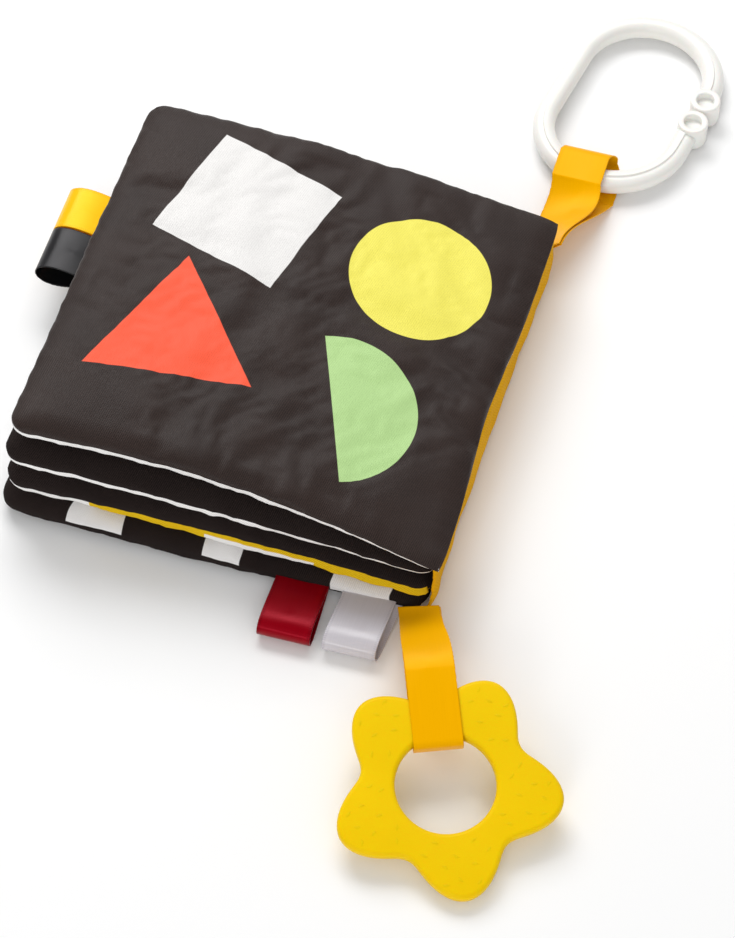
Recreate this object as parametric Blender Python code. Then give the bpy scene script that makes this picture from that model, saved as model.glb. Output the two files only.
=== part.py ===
"""A baby's soft contrast book: four padded cloth leaves, ribbon tags, a flower teether and a link ring.

Units are metres and +Z is up. The closed book lies on its back cover. The origin is on the back
cover's flat underside, below the middle of the front cover. The spine is at +X and the leaves
open from -X. The teether lies off the lower end (-Y) and the link ring off the upper end (+Y).
"""
import math

import bmesh
import bpy
from mathutils import Vector

# The leaves, in plan
BOOK_SIDE = 0.130
CORNER_RADIUS = 0.006
LEAVES = ("back_cover", "leaf_three", "leaf_two", "front_cover")
CORNER_STEPS = 3
SIDE_STEPS = 5

# Each leaf's plan, as shifts from a plain square of the book's side: its lower and upper corners
# at the spine, then its upper and lower corners at the free side, and how far its lower, spine,
# upper and free sides are drawn in
LEAF_CORNER_SHIFTS = (
    ((-0.0025, -0.0030), (-0.0025, -0.0027), (-0.0030, -0.0040), (-0.0030, -0.0043)),
    ((-0.0011, -0.0017), (-0.0011, -0.0018), (-0.0005, -0.0031), (-0.0005, -0.0034)),
    ((-0.0011, 0.0003), (-0.0011, -0.0007), (-0.0003, -0.0022), (-0.0003, -0.0022)),
    ((-0.0011, -0.0002), (-0.0011, 0.0005), (0.0016, -0.0022), (0.0016, 0.0005)),
)
LEAF_DRAW_INS = (
    (-0.0012, 0.0010, 0.0015, 0.0008),
    (0.0008, 0.0015, 0.0015, 0.0010),
    (0.0006, 0.0015, 0.0015, 0.0010),
    (0.0036, 0.0016, 0.0000, 0.0002),
)

# The leaves, in height: each leaf is pinched at the spine and full at its free side
FIRST_SEAM_AT_SPINE = 0.0030
FIRST_SEAM_AT_FREE_SIDE = 0.0040
LEAF_PITCH_AT_SPINE = 0.0062
LEAF_PITCH_AT_FREE_SIDE = 0.0110
RISE_POWER = 1.6
COVER_DEPTH_SHARE = 0.68

# Cloth, wadding and the room between neighbours
CLOTH = 0.0006
FIT = 0.0003
SEAM_WIDTH = 0.0020
EDGE_ROLL = 0.0070
WADDING_SETBACK = 0.0012
WADDING_EDGE = 0.0010
EDGE_ROLL_SHARES = (0.0, 0.09, 0.34, 1.0)
MIDDLE_RING_SHARE = 0.45

# The spine's cloth, tucked under at its foot
SPINE_CLOTH = 0.0008
SPINE_TUCK = 0.0026

# Satin ribbon
RIBBON_WIDTH = 0.0156
RIBBON_THICKNESS = 0.0005
PLY_GAP = 0.0003

# The ribbon tags: how far each stands out, its loop's height and its middle's distance from
# the upper free corner or the lower spine corner
TAG_REACH = 0.0184
TAG_LOOP_STEPS = 16
SIDE_TAG_HEIGHT = 0.0085
LOWER_TAG_HEIGHT = 0.0050
YELLOW_TAG_FROM_CORNER = 0.0338
BLACK_TAG_FROM_CORNER = 0.0502
RED_TAG_FROM_CORNER = 0.0396
WHITE_TAG_FROM_CORNER = 0.0198

# The flower teether
FLOWER_NOTCH_RADIUS = 0.0234
FLOWER_TIP_RADIUS = 0.0324
FLOWER_HOLE_RADIUS = 0.01385
FLOWER_THICKNESS = 0.0042
FLOWER_EDGE_RADIUS = 0.0014
FLOWER_PETALS = 5
FLOWER_STEPS = 60
FLOWER_EDGE_STEPS = 2
FLOWER_TURN = math.radians(4)
FLOWER_TILT = math.radians(12)
FLOWER_HEIGHT = 0.0092

# The ribbon that holds the teether
TEETHER_RIBBON_WIDTH = 0.0136
TEETHER_RIBBON_REACH = 0.0593
TEETHER_RIBBON_HEADING = math.radians(-67.5)
TEETHER_RIBBON_SEAM_FROM_CORNER = 0.0108
TEETHER_RIBBON_SEAM_PAST_SPINE = 0.0012
TEETHER_RIBBON_SEAM_RISE = 0.0064
TEETHER_BEND_RADIUS = 0.0016
TEETHER_BEND_SLACK = 0.0010
TEETHER_BESIDE_RIBBON = 0.00075

# The link ring: a C of round bar with a ledge along it and a round boss at each end
RING_BEND_RADIUS = 0.0220
RING_STRAIGHT = 0.0245
RING_TURN = math.radians(-10)
RING_BAR_WIDTH = 0.0070
RING_BAR_HEIGHT = 0.0066
RING_BAR_ROUNDING = 0.0028
RING_LEDGE_DEPTH = 0.0006
RING_BEND_STEPS = 12
BOSS_DIAMETER = 0.0096
BOSS_HEIGHT = 0.0082
BOSS_GAP = 0.0005
BOSS_RECESS_DIAMETER = 0.0056
BOSS_RECESS_DEPTH = 0.0024
BOSS_OUTSET = 0.0006
BOSSES_PAST_MIDDLE = 0.0036
BOSS_STEPS = 28

# The ribbon that holds the ring
RING_RIBBON_REACH = 0.0360
RING_RIBBON_HEADING = math.radians(83.1)
RING_RIBBON_SEAM_FROM_CORNER = 0.0096
RING_RIBBON_SEAM_PAST_SPINE = 0.0014
RING_RIBBON_SEAM_RISE = 0.0110
RING_SWING_ROOM = 0.0004
RING_LOOP_START = 0.0056
RING_LOOP_REACH = 0.0085
RING_LOOP_SLANT = 0.0040
RING_BEND_ROUNDING = 0.0032
RING_LOOP_BESIDE_BAR = 0.0008

# The plies part late, near what they hold
RIBBON_PARTING_POWER = 2.6
RIBBON_STEPS = 8
RIBBON_BEND_STEPS = 3

# Worked out from the values above
TOP = len(LEAVES) - 1
SPINE_X = BOOK_SIDE / 2
LEAF_WIDTH = BOOK_SIDE - SPINE_CLOTH - FIT
SEAM_HALF = FIT / 2 + CLOTH
PLY_OFFSET = (RIBBON_THICKNESS + PLY_GAP) / 2


def new_material(name, colour, roughness, metallic=0.0):
    """A plain finish with its colour, roughness and metallic value."""
    material = bpy.data.materials.new(name)
    material.use_nodes = True
    shader = material.node_tree.nodes["Principled BSDF"]
    shader.inputs["Base Color"].default_value = (*colour, 1.0)
    shader.inputs["Roughness"].default_value = roughness
    shader.inputs["Metallic"].default_value = metallic
    material.diffuse_color = (*colour, 1.0)
    return material


def new_object(name, mesh, material, pivot=None, smooth_below=math.radians(40)):
    """Put a mesh drawn in world places into the scene, with its origin at the pivot."""
    place = Vector(pivot) if pivot else Vector((0, 0, 0))
    bmesh.ops.recalc_face_normals(mesh, faces=mesh.faces)
    bmesh.ops.translate(mesh, verts=mesh.verts, vec=-place)
    data = bpy.data.meshes.new(name)
    mesh.to_mesh(data)
    mesh.free()
    data.shade_smooth()
    data.set_sharp_from_angle(angle=smooth_below)
    data.materials.append(material)
    piece = bpy.data.objects.new(name, data)
    piece.location = place
    bpy.context.scene.collection.objects.link(piece)
    return piece


def add_ring(mesh, points):
    """Add a closed row of vertices."""
    return [mesh.verts.new(point) for point in points]


def join_rings(mesh, first, second):
    """Skin the band between two closed rows of as many vertices."""
    count = len(first)
    for index in range(count):
        following = (index + 1) % count
        mesh.faces.new((first[index], first[following], second[following], second[index]))


def close_ring(mesh, ring, tip):
    """Close a row of vertices with a fan round one point."""
    centre = mesh.verts.new(tip)
    for index, vertex in enumerate(ring):
        mesh.faces.new((vertex, ring[(index + 1) % len(ring)], centre))


def rise(from_spine):
    """How far a leaf has climbed at a distance from the spine, from 0 to 1."""
    share = min(max(from_spine / LEAF_WIDTH, 0.0), 1.0)
    return 1 - (1 - share) ** RISE_POWER


def seam_height(leaf, from_spine):
    """Height of a leaf's seam, which is at the middle of its thickness."""
    at_spine = FIRST_SEAM_AT_SPINE + leaf * LEAF_PITCH_AT_SPINE
    at_free_side = FIRST_SEAM_AT_FREE_SIDE + leaf * LEAF_PITCH_AT_FREE_SIDE
    return at_spine + (at_free_side - at_spine) * rise(from_spine)


def half_thickness(leaf, from_spine, side):
    """A leaf's depth above (side 1) or below (side -1) its seam, where it is fullest."""
    if leaf == 0 and side < 0:
        return seam_height(0, from_spine)
    pitch = LEAF_PITCH_AT_SPINE + (LEAF_PITCH_AT_FREE_SIDE - LEAF_PITCH_AT_SPINE) * rise(from_spine)
    if leaf == TOP and side > 0:
        return pitch / 2 * COVER_DEPTH_SHARE
    return (pitch - FIT) / 2


def square_outline():
    """A round-cornered square's outline from -1 to 1 each way, from its lower corner at the
    spine and on up the spine."""
    flat = 1 - 2 * CORNER_RADIUS / BOOK_SIDE
    points = []
    for quarter, (sign_x, sign_y) in enumerate(((1, -1), (1, 1), (-1, 1), (-1, -1))):
        centre = Vector((sign_x * flat, sign_y * flat))
        for step in range(CORNER_STEPS + 1):
            angle = math.radians(90) * (quarter - 1 + step / CORNER_STEPS)
            points.append(centre + (1 - flat) * Vector((math.cos(angle), math.sin(angle))))
        along = Vector((-math.sin(angle), math.cos(angle)))
        start = points[-1]
        points += [start + along * 2 * flat * step / SIDE_STEPS for step in range(1, SIDE_STEPS)]
    return points


def leaf_corners(leaf):
    """A leaf's corners in plan: lower and upper at the spine, upper and lower at the free side."""
    corners = []
    for sign_x, sign_y, shift in zip((1, 1, -1, -1), (-1, 1, 1, -1), LEAF_CORNER_SHIFTS[leaf]):
        corners.append(Vector((sign_x, sign_y)) * BOOK_SIDE / 2 + Vector(shift))
    return corners


def leaf_ring(leaf, inset):
    """A leaf's outline drawn in towards its middle, as places in plan, each with how far it is
    from the spine."""
    low_spine, high_spine, high_free, low_free = leaf_corners(leaf)
    lower, spine, upper, free = LEAF_DRAW_INS[leaf]
    share = 1 - 2 * inset / BOOK_SIDE
    ring = []
    for point in square_outline():
        across = (1 + point.x * share) / 2
        up = (1 + point.y * share) / 2
        place = low_free.lerp(low_spine, across).lerp(high_free.lerp(high_spine, across), up)
        bow_across = math.sin(math.pi * across)
        bow_up = math.sin(math.pi * up)
        x = place.x + (free * (1 - across) - spine * across) * bow_up
        y = place.y + (lower * (1 - up) - upper * up) * bow_across
        ring.append((x, y, max(SPINE_X - SPINE_CLOTH - FIT - x, 0.0)))
    return ring


def roll(distance):
    """A padded edge's fullness at a distance from its seam, from 0 to 1."""
    share = min(max(distance / EDGE_ROLL, 0.0), 1.0)
    return math.sqrt(1 - (1 - share) ** 2)


def leaf_surface(leaf, side, start, offset, lift):
    """The rows of one padded face from its edge inwards, and its middle point.

    start is the first row's distance from the seam, offset the face's distance from the
    middle height at the edge, and lift what it gives up of the leaf's full depth.
    """
    insets = [start + EDGE_ROLL * share for share in EDGE_ROLL_SHARES]
    insets.append(BOOK_SIDE / 2 * MIDDLE_RING_SHARE)
    rows = []
    for inset in insets:
        row = []
        for x, y, from_spine in leaf_ring(leaf, inset):
            depth = half_thickness(leaf, from_spine, side) - lift - offset
            height = offset + depth * roll(inset - start)
            row.append((x, y, seam_height(leaf, from_spine) + side * height))
        rows.append(row)
    x, y, from_spine = leaf_ring(leaf, BOOK_SIDE / 2)[0]
    height = half_thickness(leaf, from_spine, side) - lift
    return rows, (x, y, seam_height(leaf, from_spine) + side * height)


def closed_skin(rows, first_tip, last_tip):
    """A closed body from a run of rows, with a fan at each end."""
    mesh = bmesh.new()
    rings = [add_ring(mesh, row) for row in rows]
    for first, second in zip(rings, rings[1:]):
        join_rings(mesh, first, second)
    close_ring(mesh, rings[0], first_tip)
    close_ring(mesh, rings[-1], last_tip)
    return mesh


def make_leaf_cloth(leaf, side, name, material, pivot):
    """One of a leaf's two cloths: a padded face, its seam allowance and its hollow back."""
    outer, outer_tip = leaf_surface(leaf, side, 0.0, SEAM_HALF, 0.0)
    inner, inner_tip = leaf_surface(leaf, side, SEAM_WIDTH, FIT / 2, CLOTH)
    rim = []
    for x, y, from_spine in leaf_ring(leaf, 0.0):
        rim.append((x, y, seam_height(leaf, from_spine) + side * FIT / 2))
    mesh = closed_skin([*reversed(outer), rim, *inner], outer_tip, inner_tip)
    return new_object(name, mesh, material, pivot)


def make_wadding(leaf, name, material, pivot):
    """The leaf's pad of wadding, which fills the pocket between its cloths."""
    start = SEAM_WIDTH + WADDING_SETBACK
    upper, upper_tip = leaf_surface(leaf, 1, start, WADDING_EDGE / 2, CLOTH + FIT)
    lower, lower_tip = leaf_surface(leaf, -1, start, WADDING_EDGE / 2, CLOTH + FIT)
    mesh = closed_skin([*reversed(upper), *lower], upper_tip, lower_tip)
    return new_object(name, mesh, material, pivot)


def spine_joint(leaf):
    """The fold line below a leaf, on the outer face of the spine's cloth."""
    if leaf == 0:
        return Vector((SPINE_X, 0, 0))
    height = (seam_height(leaf, 0.0) + seam_height(leaf - 1, 0.0)) / 2
    return Vector((SPINE_X, 0, height))


def make_spine_cloth(leaf, name, material, pivot):
    """The stretch of the spine's cloth that a leaf is sewn to, between two fold lines."""
    low = spine_joint(leaf).z + (FIT if leaf == 0 else FIT / 2)
    if leaf < TOP:
        high = spine_joint(leaf + 1).z - FIT / 2
    else:
        high = seam_height(leaf, 0.0) + half_thickness(leaf, 0.0, 1) / 2
    tuck = SPINE_TUCK if leaf == 0 else 0.0
    start = leaf_corners(leaf)[0].y + CORNER_RADIUS / 2
    end = leaf_corners(leaf)[1].y - CORNER_RADIUS / 2
    mesh = bmesh.new()
    profile = add_ring(mesh, [
        (SPINE_X - tuck - SPINE_CLOTH, start, low),
        (SPINE_X - tuck, start, low),
        (SPINE_X, start, high),
        (SPINE_X - SPINE_CLOTH, start, high),
    ])
    face = mesh.faces.new(profile)
    sweep = bmesh.ops.extrude_face_region(mesh, geom=[face])
    moved = [item for item in sweep["geom"] if isinstance(item, bmesh.types.BMVert)]
    bmesh.ops.translate(mesh, verts=moved, vec=(0, end - start, 0))
    return new_object(name, mesh, material, pivot)


def strip_mesh(stations):
    """A flat ribbon through stations of centre, width vector and unit thickness direction."""
    mesh = bmesh.new()
    rings = []
    for centre, across, through in stations:
        half = through * RIBBON_THICKNESS / 2
        rings.append(add_ring(mesh, [
            centre - across / 2 - half,
            centre + across / 2 - half,
            centre + across / 2 + half,
            centre - across / 2 + half,
        ]))
    for first, second in zip(rings, rings[1:]):
        join_rings(mesh, first, second)
    mesh.faces.new(rings[0])
    mesh.faces.new(rings[-1])
    return mesh


def edge_point(leaf, side, along):
    """A point on a leaf's seam, at a height up the free side or a place across the lower or
    upper side."""
    axis = 1 if side == "free" else 0
    points = [Vector(place) for place in leaf_ring(leaf, 0.0)]
    if side == "free":
        points = [point for point in points if point.x < -BOOK_SIDE / 2 + CORNER_RADIUS]
    elif side == "lower":
        points = [point for point in points if point.y < -BOOK_SIDE / 2 + CORNER_RADIUS]
    else:
        points = [point for point in points if point.y > BOOK_SIDE / 2 - CORNER_RADIUS]
    points.sort(key=lambda point: point[axis])
    for first, second in zip(points, points[1:]):
        if first[axis] <= along <= second[axis]:
            share = (along - first[axis]) / (second[axis] - first[axis])
            point = first.lerp(second, share)
    return Vector((point.x, point.y, seam_height(leaf, point.z)))


def make_tag(leaf, side, middle, height, name, material, pivot):
    """A folded ribbon tag, a drop-shaped loop whose two ends are sewn into a leaf's seam."""
    before = edge_point(leaf, side, middle - RIBBON_WIDTH / 2)
    after = edge_point(leaf, side, middle + RIBBON_WIDTH / 2)
    along = (after - before).normalized()
    outward = Vector((-1, 0, 0)) if side == "free" else Vector((0, -1, 0))
    outward = (outward - along * outward.dot(along)).normalized()
    up = outward.cross(along)
    if up.z < 0:
        up = -up
    root = (before + after) / 2 + outward * FIT
    fullest = 4 / (3 * math.sqrt(3))
    rise_to = (height - RIBBON_THICKNESS) / 2 / fullest

    def place(turn):
        out = TAG_REACH * (1 - math.cos(turn)) / 2
        seat = PLY_OFFSET * math.cos(turn / 2)
        return root + outward * out + up * (seat + rise_to * math.sin(turn) * math.sin(turn / 2))

    stations = []
    for step in range(TAG_LOOP_STEPS + 1):
        turn = 2 * math.pi * step / TAG_LOOP_STEPS
        reach = math.pi / TAG_LOOP_STEPS
        ahead = place(min(turn + reach, 2 * math.pi)) - place(max(turn - reach, 0.0))
        through = along.cross(ahead).normalized()
        stations.append((place(turn), along * RIBBON_WIDTH, through))
    return new_object(name, strip_mesh(stations), material, pivot)


def hermite(start, start_slope, end, end_slope, share):
    """A smooth curve between two points with given slopes."""
    square = share * share
    cube = square * share
    return (start * (2 * cube - 3 * square + 1) + start_slope * (cube - 2 * square + share)
            + end * (3 * square - 2 * cube) + end_slope * (cube - square))


def make_loop_ribbon(name, material, seam_centre, seam_across, frame, loop, pivot):
    """A ribbon folded double: both ends in the book's seam, and its bend round a bar.

    frame is the loop's centre and its directions away from the book, across and up. loop holds
    the ribbon's width, how far the flat part starts before the centre, how far the bend reaches
    past it, the bend's radius, the plies' distance from the centre, and how far the lower ply
    lies sideways from the upper.
    """
    centre, away, across, up = frame
    width, flat_start, bend_reach, bend_radius, ply_height, slant = loop
    entry = centre - away * flat_start
    span = (entry - seam_centre).length
    level = Vector((away.x, away.y, 0)).normalized()
    upper = []
    lower = []
    for step in range(RIBBON_STEPS):
        share = step / RIBBON_STEPS
        ease = share * share * (3 - 2 * share)
        late = share ** RIBBON_PARTING_POWER
        middle = hermite(seam_centre, level * span, entry, away * span, share)
        ahead = hermite(seam_centre, level * span, entry, away * span, share + 1 / RIBBON_STEPS)
        wide = seam_across.normalized().lerp(across, ease).normalized() * width
        normal = (ahead - middle).cross(wide).normalized()
        if normal.z < 0:
            normal = -normal
        half_gap = PLY_OFFSET + (ply_height - PLY_OFFSET) * late
        side_step = across * slant / 2 * late
        upper.append((middle + normal * half_gap - side_step, wide, normal))
        lower.append((middle - normal * half_gap + side_step, wide, -normal))
    wide = across * width
    corner = bend_reach - bend_radius
    turn_height = ply_height - bend_radius
    bend = []
    for sign in (1, -1):
        for step in range(RIBBON_BEND_STEPS + 1):
            quarter = step / RIBBON_BEND_STEPS
            angle = math.radians(90) * (quarter if sign > 0 else 1 + quarter)
            through = up * math.cos(angle) + away * math.sin(angle)
            middle = centre + away * corner + up * turn_height * sign + through * bend_radius
            side_step = across * slant / 2 * (2 * angle / math.pi - 1)
            bend.append((middle + side_step, wide, through))
    flat_upper = (entry + up * ply_height - across * slant / 2, wide, up)
    flat_lower = (entry - up * ply_height + across * slant / 2, wide, -up)
    stations = [*upper, flat_upper, *bend, flat_lower, *reversed(lower)]
    return new_object(name, strip_mesh(stations), material, pivot)


def ribbon_seam(side, from_corner, past_spine, seam_rise):
    """Where a holding ribbon is sewn to the back cover: low at the leaf's edge and rising past
    the spine."""
    inner = edge_point(0, side, BOOK_SIDE / 2 - from_corner)
    outward = Vector((0, 1, 0)) if side == "upper" else Vector((0, -1, 0))
    inner += outward * (FIT + RIBBON_THICKNESS + PLY_GAP)
    outer = Vector((SPINE_X + past_spine, inner.y, inner.z + seam_rise))
    return (inner + outer) / 2, outer - inner


def make_flower(centre, away, across, up, material):
    """The teether: a flat ring with a wavy rim of round petals and softened edges."""
    half = FLOWER_THICKNESS / 2
    edge = FLOWER_EDGE_RADIUS
    mesh = bmesh.new()
    sections = []
    for step in range(FLOWER_STEPS):
        angle = 2 * math.pi * step / FLOWER_STEPS
        lobe = (1 + math.cos(FLOWER_PETALS * angle)) / 2
        rim = FLOWER_NOTCH_RADIUS + (FLOWER_TIP_RADIUS - FLOWER_NOTCH_RADIUS) * lobe
        outward = away * math.cos(angle + FLOWER_TURN) + across * math.sin(angle + FLOWER_TURN)
        section = []
        corners = ((rim, 1, 1, 0), (FLOWER_HOLE_RADIUS, -1, 1, 1),
                   (FLOWER_HOLE_RADIUS, -1, -1, 2), (rim, 1, -1, 3))
        for radius, side, level, quarter in corners:
            for turn in range(FLOWER_EDGE_STEPS + 1):
                sweep = math.radians(90) * (quarter + turn / FLOWER_EDGE_STEPS)
                out = radius - side * edge + edge * math.cos(sweep)
                height = level * (half - edge) + edge * math.sin(sweep)
                section.append(centre + outward * out + up * height)
        sections.append(add_ring(mesh, section))
    for first, second in zip(sections, sections[1:] + sections[:1]):
        join_rings(mesh, first, second)
    return new_object("flower_teether", mesh, material, centre)


def ring_path(first_y, last_y):
    """The C's middle line with the outward direction at each point.

    The bend that the ribbon holds has its middle at the origin, the ring runs off to +Y and its
    open straight, at +X, is open between the two given places.
    """
    near = RING_BEND_RADIUS
    far = near + RING_STRAIGHT
    path = [(Vector((RING_BEND_RADIUS, last_y, 0)), Vector((1, 0, 0)))]
    for first_angle, centre_y in ((0, far), (180, near)):
        for step in range(RING_BEND_STEPS + 1):
            angle = math.radians(first_angle + 180 * step / RING_BEND_STEPS)
            outward = Vector((math.cos(angle), math.sin(angle), 0))
            path.append((Vector((0, centre_y, 0)) + outward * RING_BEND_RADIUS, outward))
    path.append((Vector((RING_BEND_RADIUS, first_y, 0)), Vector((1, 0, 0))))
    return path


def bar_section():
    """The bar's section, as distances outward and up: rounded, its outer half a step lower."""
    flat_width = RING_BAR_WIDTH / 2 - RING_BAR_ROUNDING
    flat_height = RING_BAR_HEIGHT / 2 - RING_BAR_ROUNDING
    section = []
    for quarter, (sign_x, sign_z) in enumerate(((1, 1), (-1, 1), (-1, -1), (1, -1))):
        drop = RING_LEDGE_DEPTH if quarter == 0 else 0
        for step in range(3):
            angle = math.radians(90) * (quarter + step / 2)
            out = sign_x * flat_width + RING_BAR_ROUNDING * math.cos(angle)
            height = sign_z * flat_height + RING_BAR_ROUNDING * math.sin(angle) - drop
            section.append((out, height))
        if quarter == 0:
            section.append((flat_width - RING_LEDGE_DEPTH, RING_BAR_HEIGHT / 2))
    return section


def add_cylinder(mesh, centre, radius, height):
    """A closed round post, upright about its centre."""
    made = bmesh.ops.create_cone(mesh, cap_ends=True, segments=BOSS_STEPS, radius1=radius,
                                 radius2=radius, depth=height)
    bmesh.ops.translate(mesh, verts=made["verts"], vec=centre)


def helper_object(name, mesh):
    """A shape that only joins or cuts another, kept out of the part."""
    bmesh.ops.recalc_face_normals(mesh, faces=mesh.faces)
    data = bpy.data.meshes.new(name)
    mesh.to_mesh(data)
    mesh.free()
    helper = bpy.data.objects.new(name, data)
    helper.hide_render = True
    helper.display_type = "WIRE"
    bpy.context.scene.collection.objects.link(helper)
    return helper


def make_ring(material):
    """The link ring: the bar swept round the C, a boss on each end and a recess in each boss."""
    middle_y = RING_BEND_RADIUS + RING_STRAIGHT / 2 + BOSSES_PAST_MIDDLE
    boss_y = (BOSS_DIAMETER + BOSS_GAP) / 2
    section = bar_section()
    mesh = bmesh.new()
    rings = []
    for point, outward in ring_path(middle_y - boss_y, middle_y + boss_y):
        rings.append(add_ring(mesh, [point + outward * out + Vector((0, 0, height))
                                     for out, height in section]))
    for first, second in zip(rings, rings[1:]):
        join_rings(mesh, first, second)
    mesh.faces.new(rings[0])
    mesh.faces.new(rings[-1])
    bosses = bmesh.new()
    recesses = bmesh.new()
    for sign in (1, -1):
        spot = Vector((RING_BEND_RADIUS + BOSS_OUTSET, middle_y + sign * boss_y, 0))
        add_cylinder(bosses, spot, BOSS_DIAMETER / 2, BOSS_HEIGHT)
        top = spot + Vector((0, 0, BOSS_HEIGHT / 2))
        add_cylinder(recesses, top, BOSS_RECESS_DIAMETER / 2, 2 * BOSS_RECESS_DEPTH)
    ring = new_object("link_ring", mesh, material)
    for name, shape, operation in (("boss_posts", bosses, "UNION"),
                                   ("boss_recesses", recesses, "DIFFERENCE")):
        helper = helper_object(name, shape)
        helper.parent = ring
        change = ring.modifiers.new(name, "BOOLEAN")
        change.operation = operation
        change.solver = "EXACT"
        change.object = helper
    return ring


def main():
    for item in list(bpy.data.objects):
        bpy.data.objects.remove(item, do_unlink=True)

    black_cloth = new_material("black polyester cloth", (0.020, 0.016, 0.018), 0.85)
    white_cloth = new_material("white polyester cloth", (0.80, 0.79, 0.78), 0.85)
    yellow_cloth = new_material("yellow polyester cloth", (0.78, 0.56, 0.03), 0.80)
    wadding = new_material("polyester wadding", (0.86, 0.86, 0.84), 0.95)
    satins = {
        "yellow": new_material("yellow satin", (0.86, 0.50, 0.0), 0.40),
        "black": new_material("black satin", (0.012, 0.012, 0.014), 0.40),
        "red": new_material("red satin", (0.35, 0.0, 0.01), 0.40),
        "white": new_material("white satin", (0.72, 0.70, 0.73), 0.40),
    }
    silicone = new_material("yellow silicone rubber", (0.80, 0.55, 0.01), 0.55)
    ring_plastic = new_material("white moulded plastic", (0.88, 0.87, 0.84), 0.35)

    cloths = {
        "back_cover": (("inner_cloth", 1, black_cloth), ("outer_cloth", -1, black_cloth)),
        "leaf_three": (("upper_cloth", 1, black_cloth), ("lower_cloth", -1, yellow_cloth)),
        "leaf_two": (("upper_cloth", 1, black_cloth), ("lower_cloth", -1, white_cloth)),
        "front_cover": (("outer_cloth", 1, black_cloth), ("inner_cloth", -1, white_cloth)),
    }
    for leaf, leaf_name in enumerate(LEAVES):
        pivot = spine_joint(leaf)
        for cloth_name, side, material in cloths[leaf_name]:
            make_leaf_cloth(leaf, side, f"{leaf_name}_{cloth_name}", material, pivot)
        make_wadding(leaf, f"{leaf_name}_wadding", wadding, pivot)
        make_spine_cloth(leaf, f"{leaf_name}_spine_cloth", yellow_cloth, pivot)

    back = LEAVES.index("back_cover")
    third = LEAVES.index("leaf_three")
    tags = (
        ("yellow", third, "free", YELLOW_TAG_FROM_CORNER, SIDE_TAG_HEIGHT),
        ("black", third, "free", BLACK_TAG_FROM_CORNER, SIDE_TAG_HEIGHT),
        ("red", back, "lower", RED_TAG_FROM_CORNER, LOWER_TAG_HEIGHT),
        ("white", back, "lower", WHITE_TAG_FROM_CORNER, LOWER_TAG_HEIGHT),
    )
    for colour, leaf, side, from_corner, height in tags:
        middle = BOOK_SIDE / 2 - from_corner
        make_tag(leaf, side, middle, height, f"{colour}_tag", satins[colour], spine_joint(leaf))

    # The teether lies tilted in its ribbon's bend, its book side up
    seam, seam_across = ribbon_seam("lower", TEETHER_RIBBON_SEAM_FROM_CORNER,
                                    TEETHER_RIBBON_SEAM_PAST_SPINE, TEETHER_RIBBON_SEAM_RISE)
    heading = Vector((math.cos(TEETHER_RIBBON_HEADING), math.sin(TEETHER_RIBBON_HEADING), 0))
    across = Vector((-heading.y, heading.x, 0))
    away = heading * math.cos(FLOWER_TILT) - Vector((0, 0, math.sin(FLOWER_TILT)))
    up = away.cross(across)
    loop_centre = Vector((seam.x, seam.y, FLOWER_HEIGHT)) + heading * TEETHER_RIBBON_REACH
    make_flower(loop_centre + across * TEETHER_BESIDE_RIBBON, away, across, up, silicone)
    ply_room = FIT + RIBBON_THICKNESS / 2
    hole_chord = math.sqrt(FLOWER_HOLE_RADIUS ** 2 - (TEETHER_RIBBON_WIDTH / 2) ** 2)
    bend_reach = ply_room + TEETHER_BEND_SLACK - hole_chord
    flat_start = FLOWER_TIP_RADIUS + ply_room
    make_loop_ribbon("teether_ribbon", satins["yellow"], seam, seam_across,
                     (loop_centre, away, across, up),
                     (TEETHER_RIBBON_WIDTH, flat_start, bend_reach, TEETHER_BEND_RADIUS,
                      FLOWER_THICKNESS / 2 + ply_room, 0.0), seam)

    # The ring lies with its bar in its ribbon's bend, its far end down on the table
    seam, seam_across = ribbon_seam("upper", RING_RIBBON_SEAM_FROM_CORNER,
                                    RING_RIBBON_SEAM_PAST_SPINE, RING_RIBBON_SEAM_RISE)
    heading = Vector((math.cos(RING_RIBBON_HEADING), math.sin(RING_RIBBON_HEADING), 0))
    bar_reach = RING_BAR_ROUNDING + math.hypot(RING_BAR_WIDTH / 2 - RING_BAR_ROUNDING,
                                               RING_BAR_HEIGHT / 2 - RING_BAR_ROUNDING)
    loop_height = FIT + RIBBON_THICKNESS + FIT + bar_reach
    bar_centre = Vector((seam.x, seam.y, loop_height)) + heading * RING_RIBBON_REACH
    ply_height = bar_reach + RING_SWING_ROOM / 2 + ply_room
    loop_centre = bar_centre + Vector((RING_LOOP_BESIDE_BAR, 0, RING_SWING_ROOM / 2))
    make_loop_ribbon("ring_ribbon", satins["yellow"], seam, seam_across,
                     (loop_centre, Vector((0, 1, 0)), Vector((1, 0, 0)), Vector((0, 0, 1))),
                     (RIBBON_WIDTH, RING_LOOP_START, RING_LOOP_REACH, RING_BEND_ROUNDING,
                      ply_height, RING_LOOP_SLANT), seam)
    slope = (loop_height - BOSS_HEIGHT / 2 - FIT) / (RING_STRAIGHT + 2 * RING_BEND_RADIUS)
    ring = make_ring(ring_plastic)
    ring.location = bar_centre
    ring.rotation_euler = (-math.asin(slope), 0, RING_TURN)


main()
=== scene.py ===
"""A baby's soft contrast book: four padded cloth leaves, satin ribbon tags, a flower teether and a
link ring.

Units are metres and +Z is up. The closed book lies on its back cover with its spine at +X. The
teether lies off the lower end (-Y) and the link ring off the upper end (+Y).
"""
import math

import bmesh
import bpy
import numpy as np
from mathutils import Matrix, Vector, noise


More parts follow.
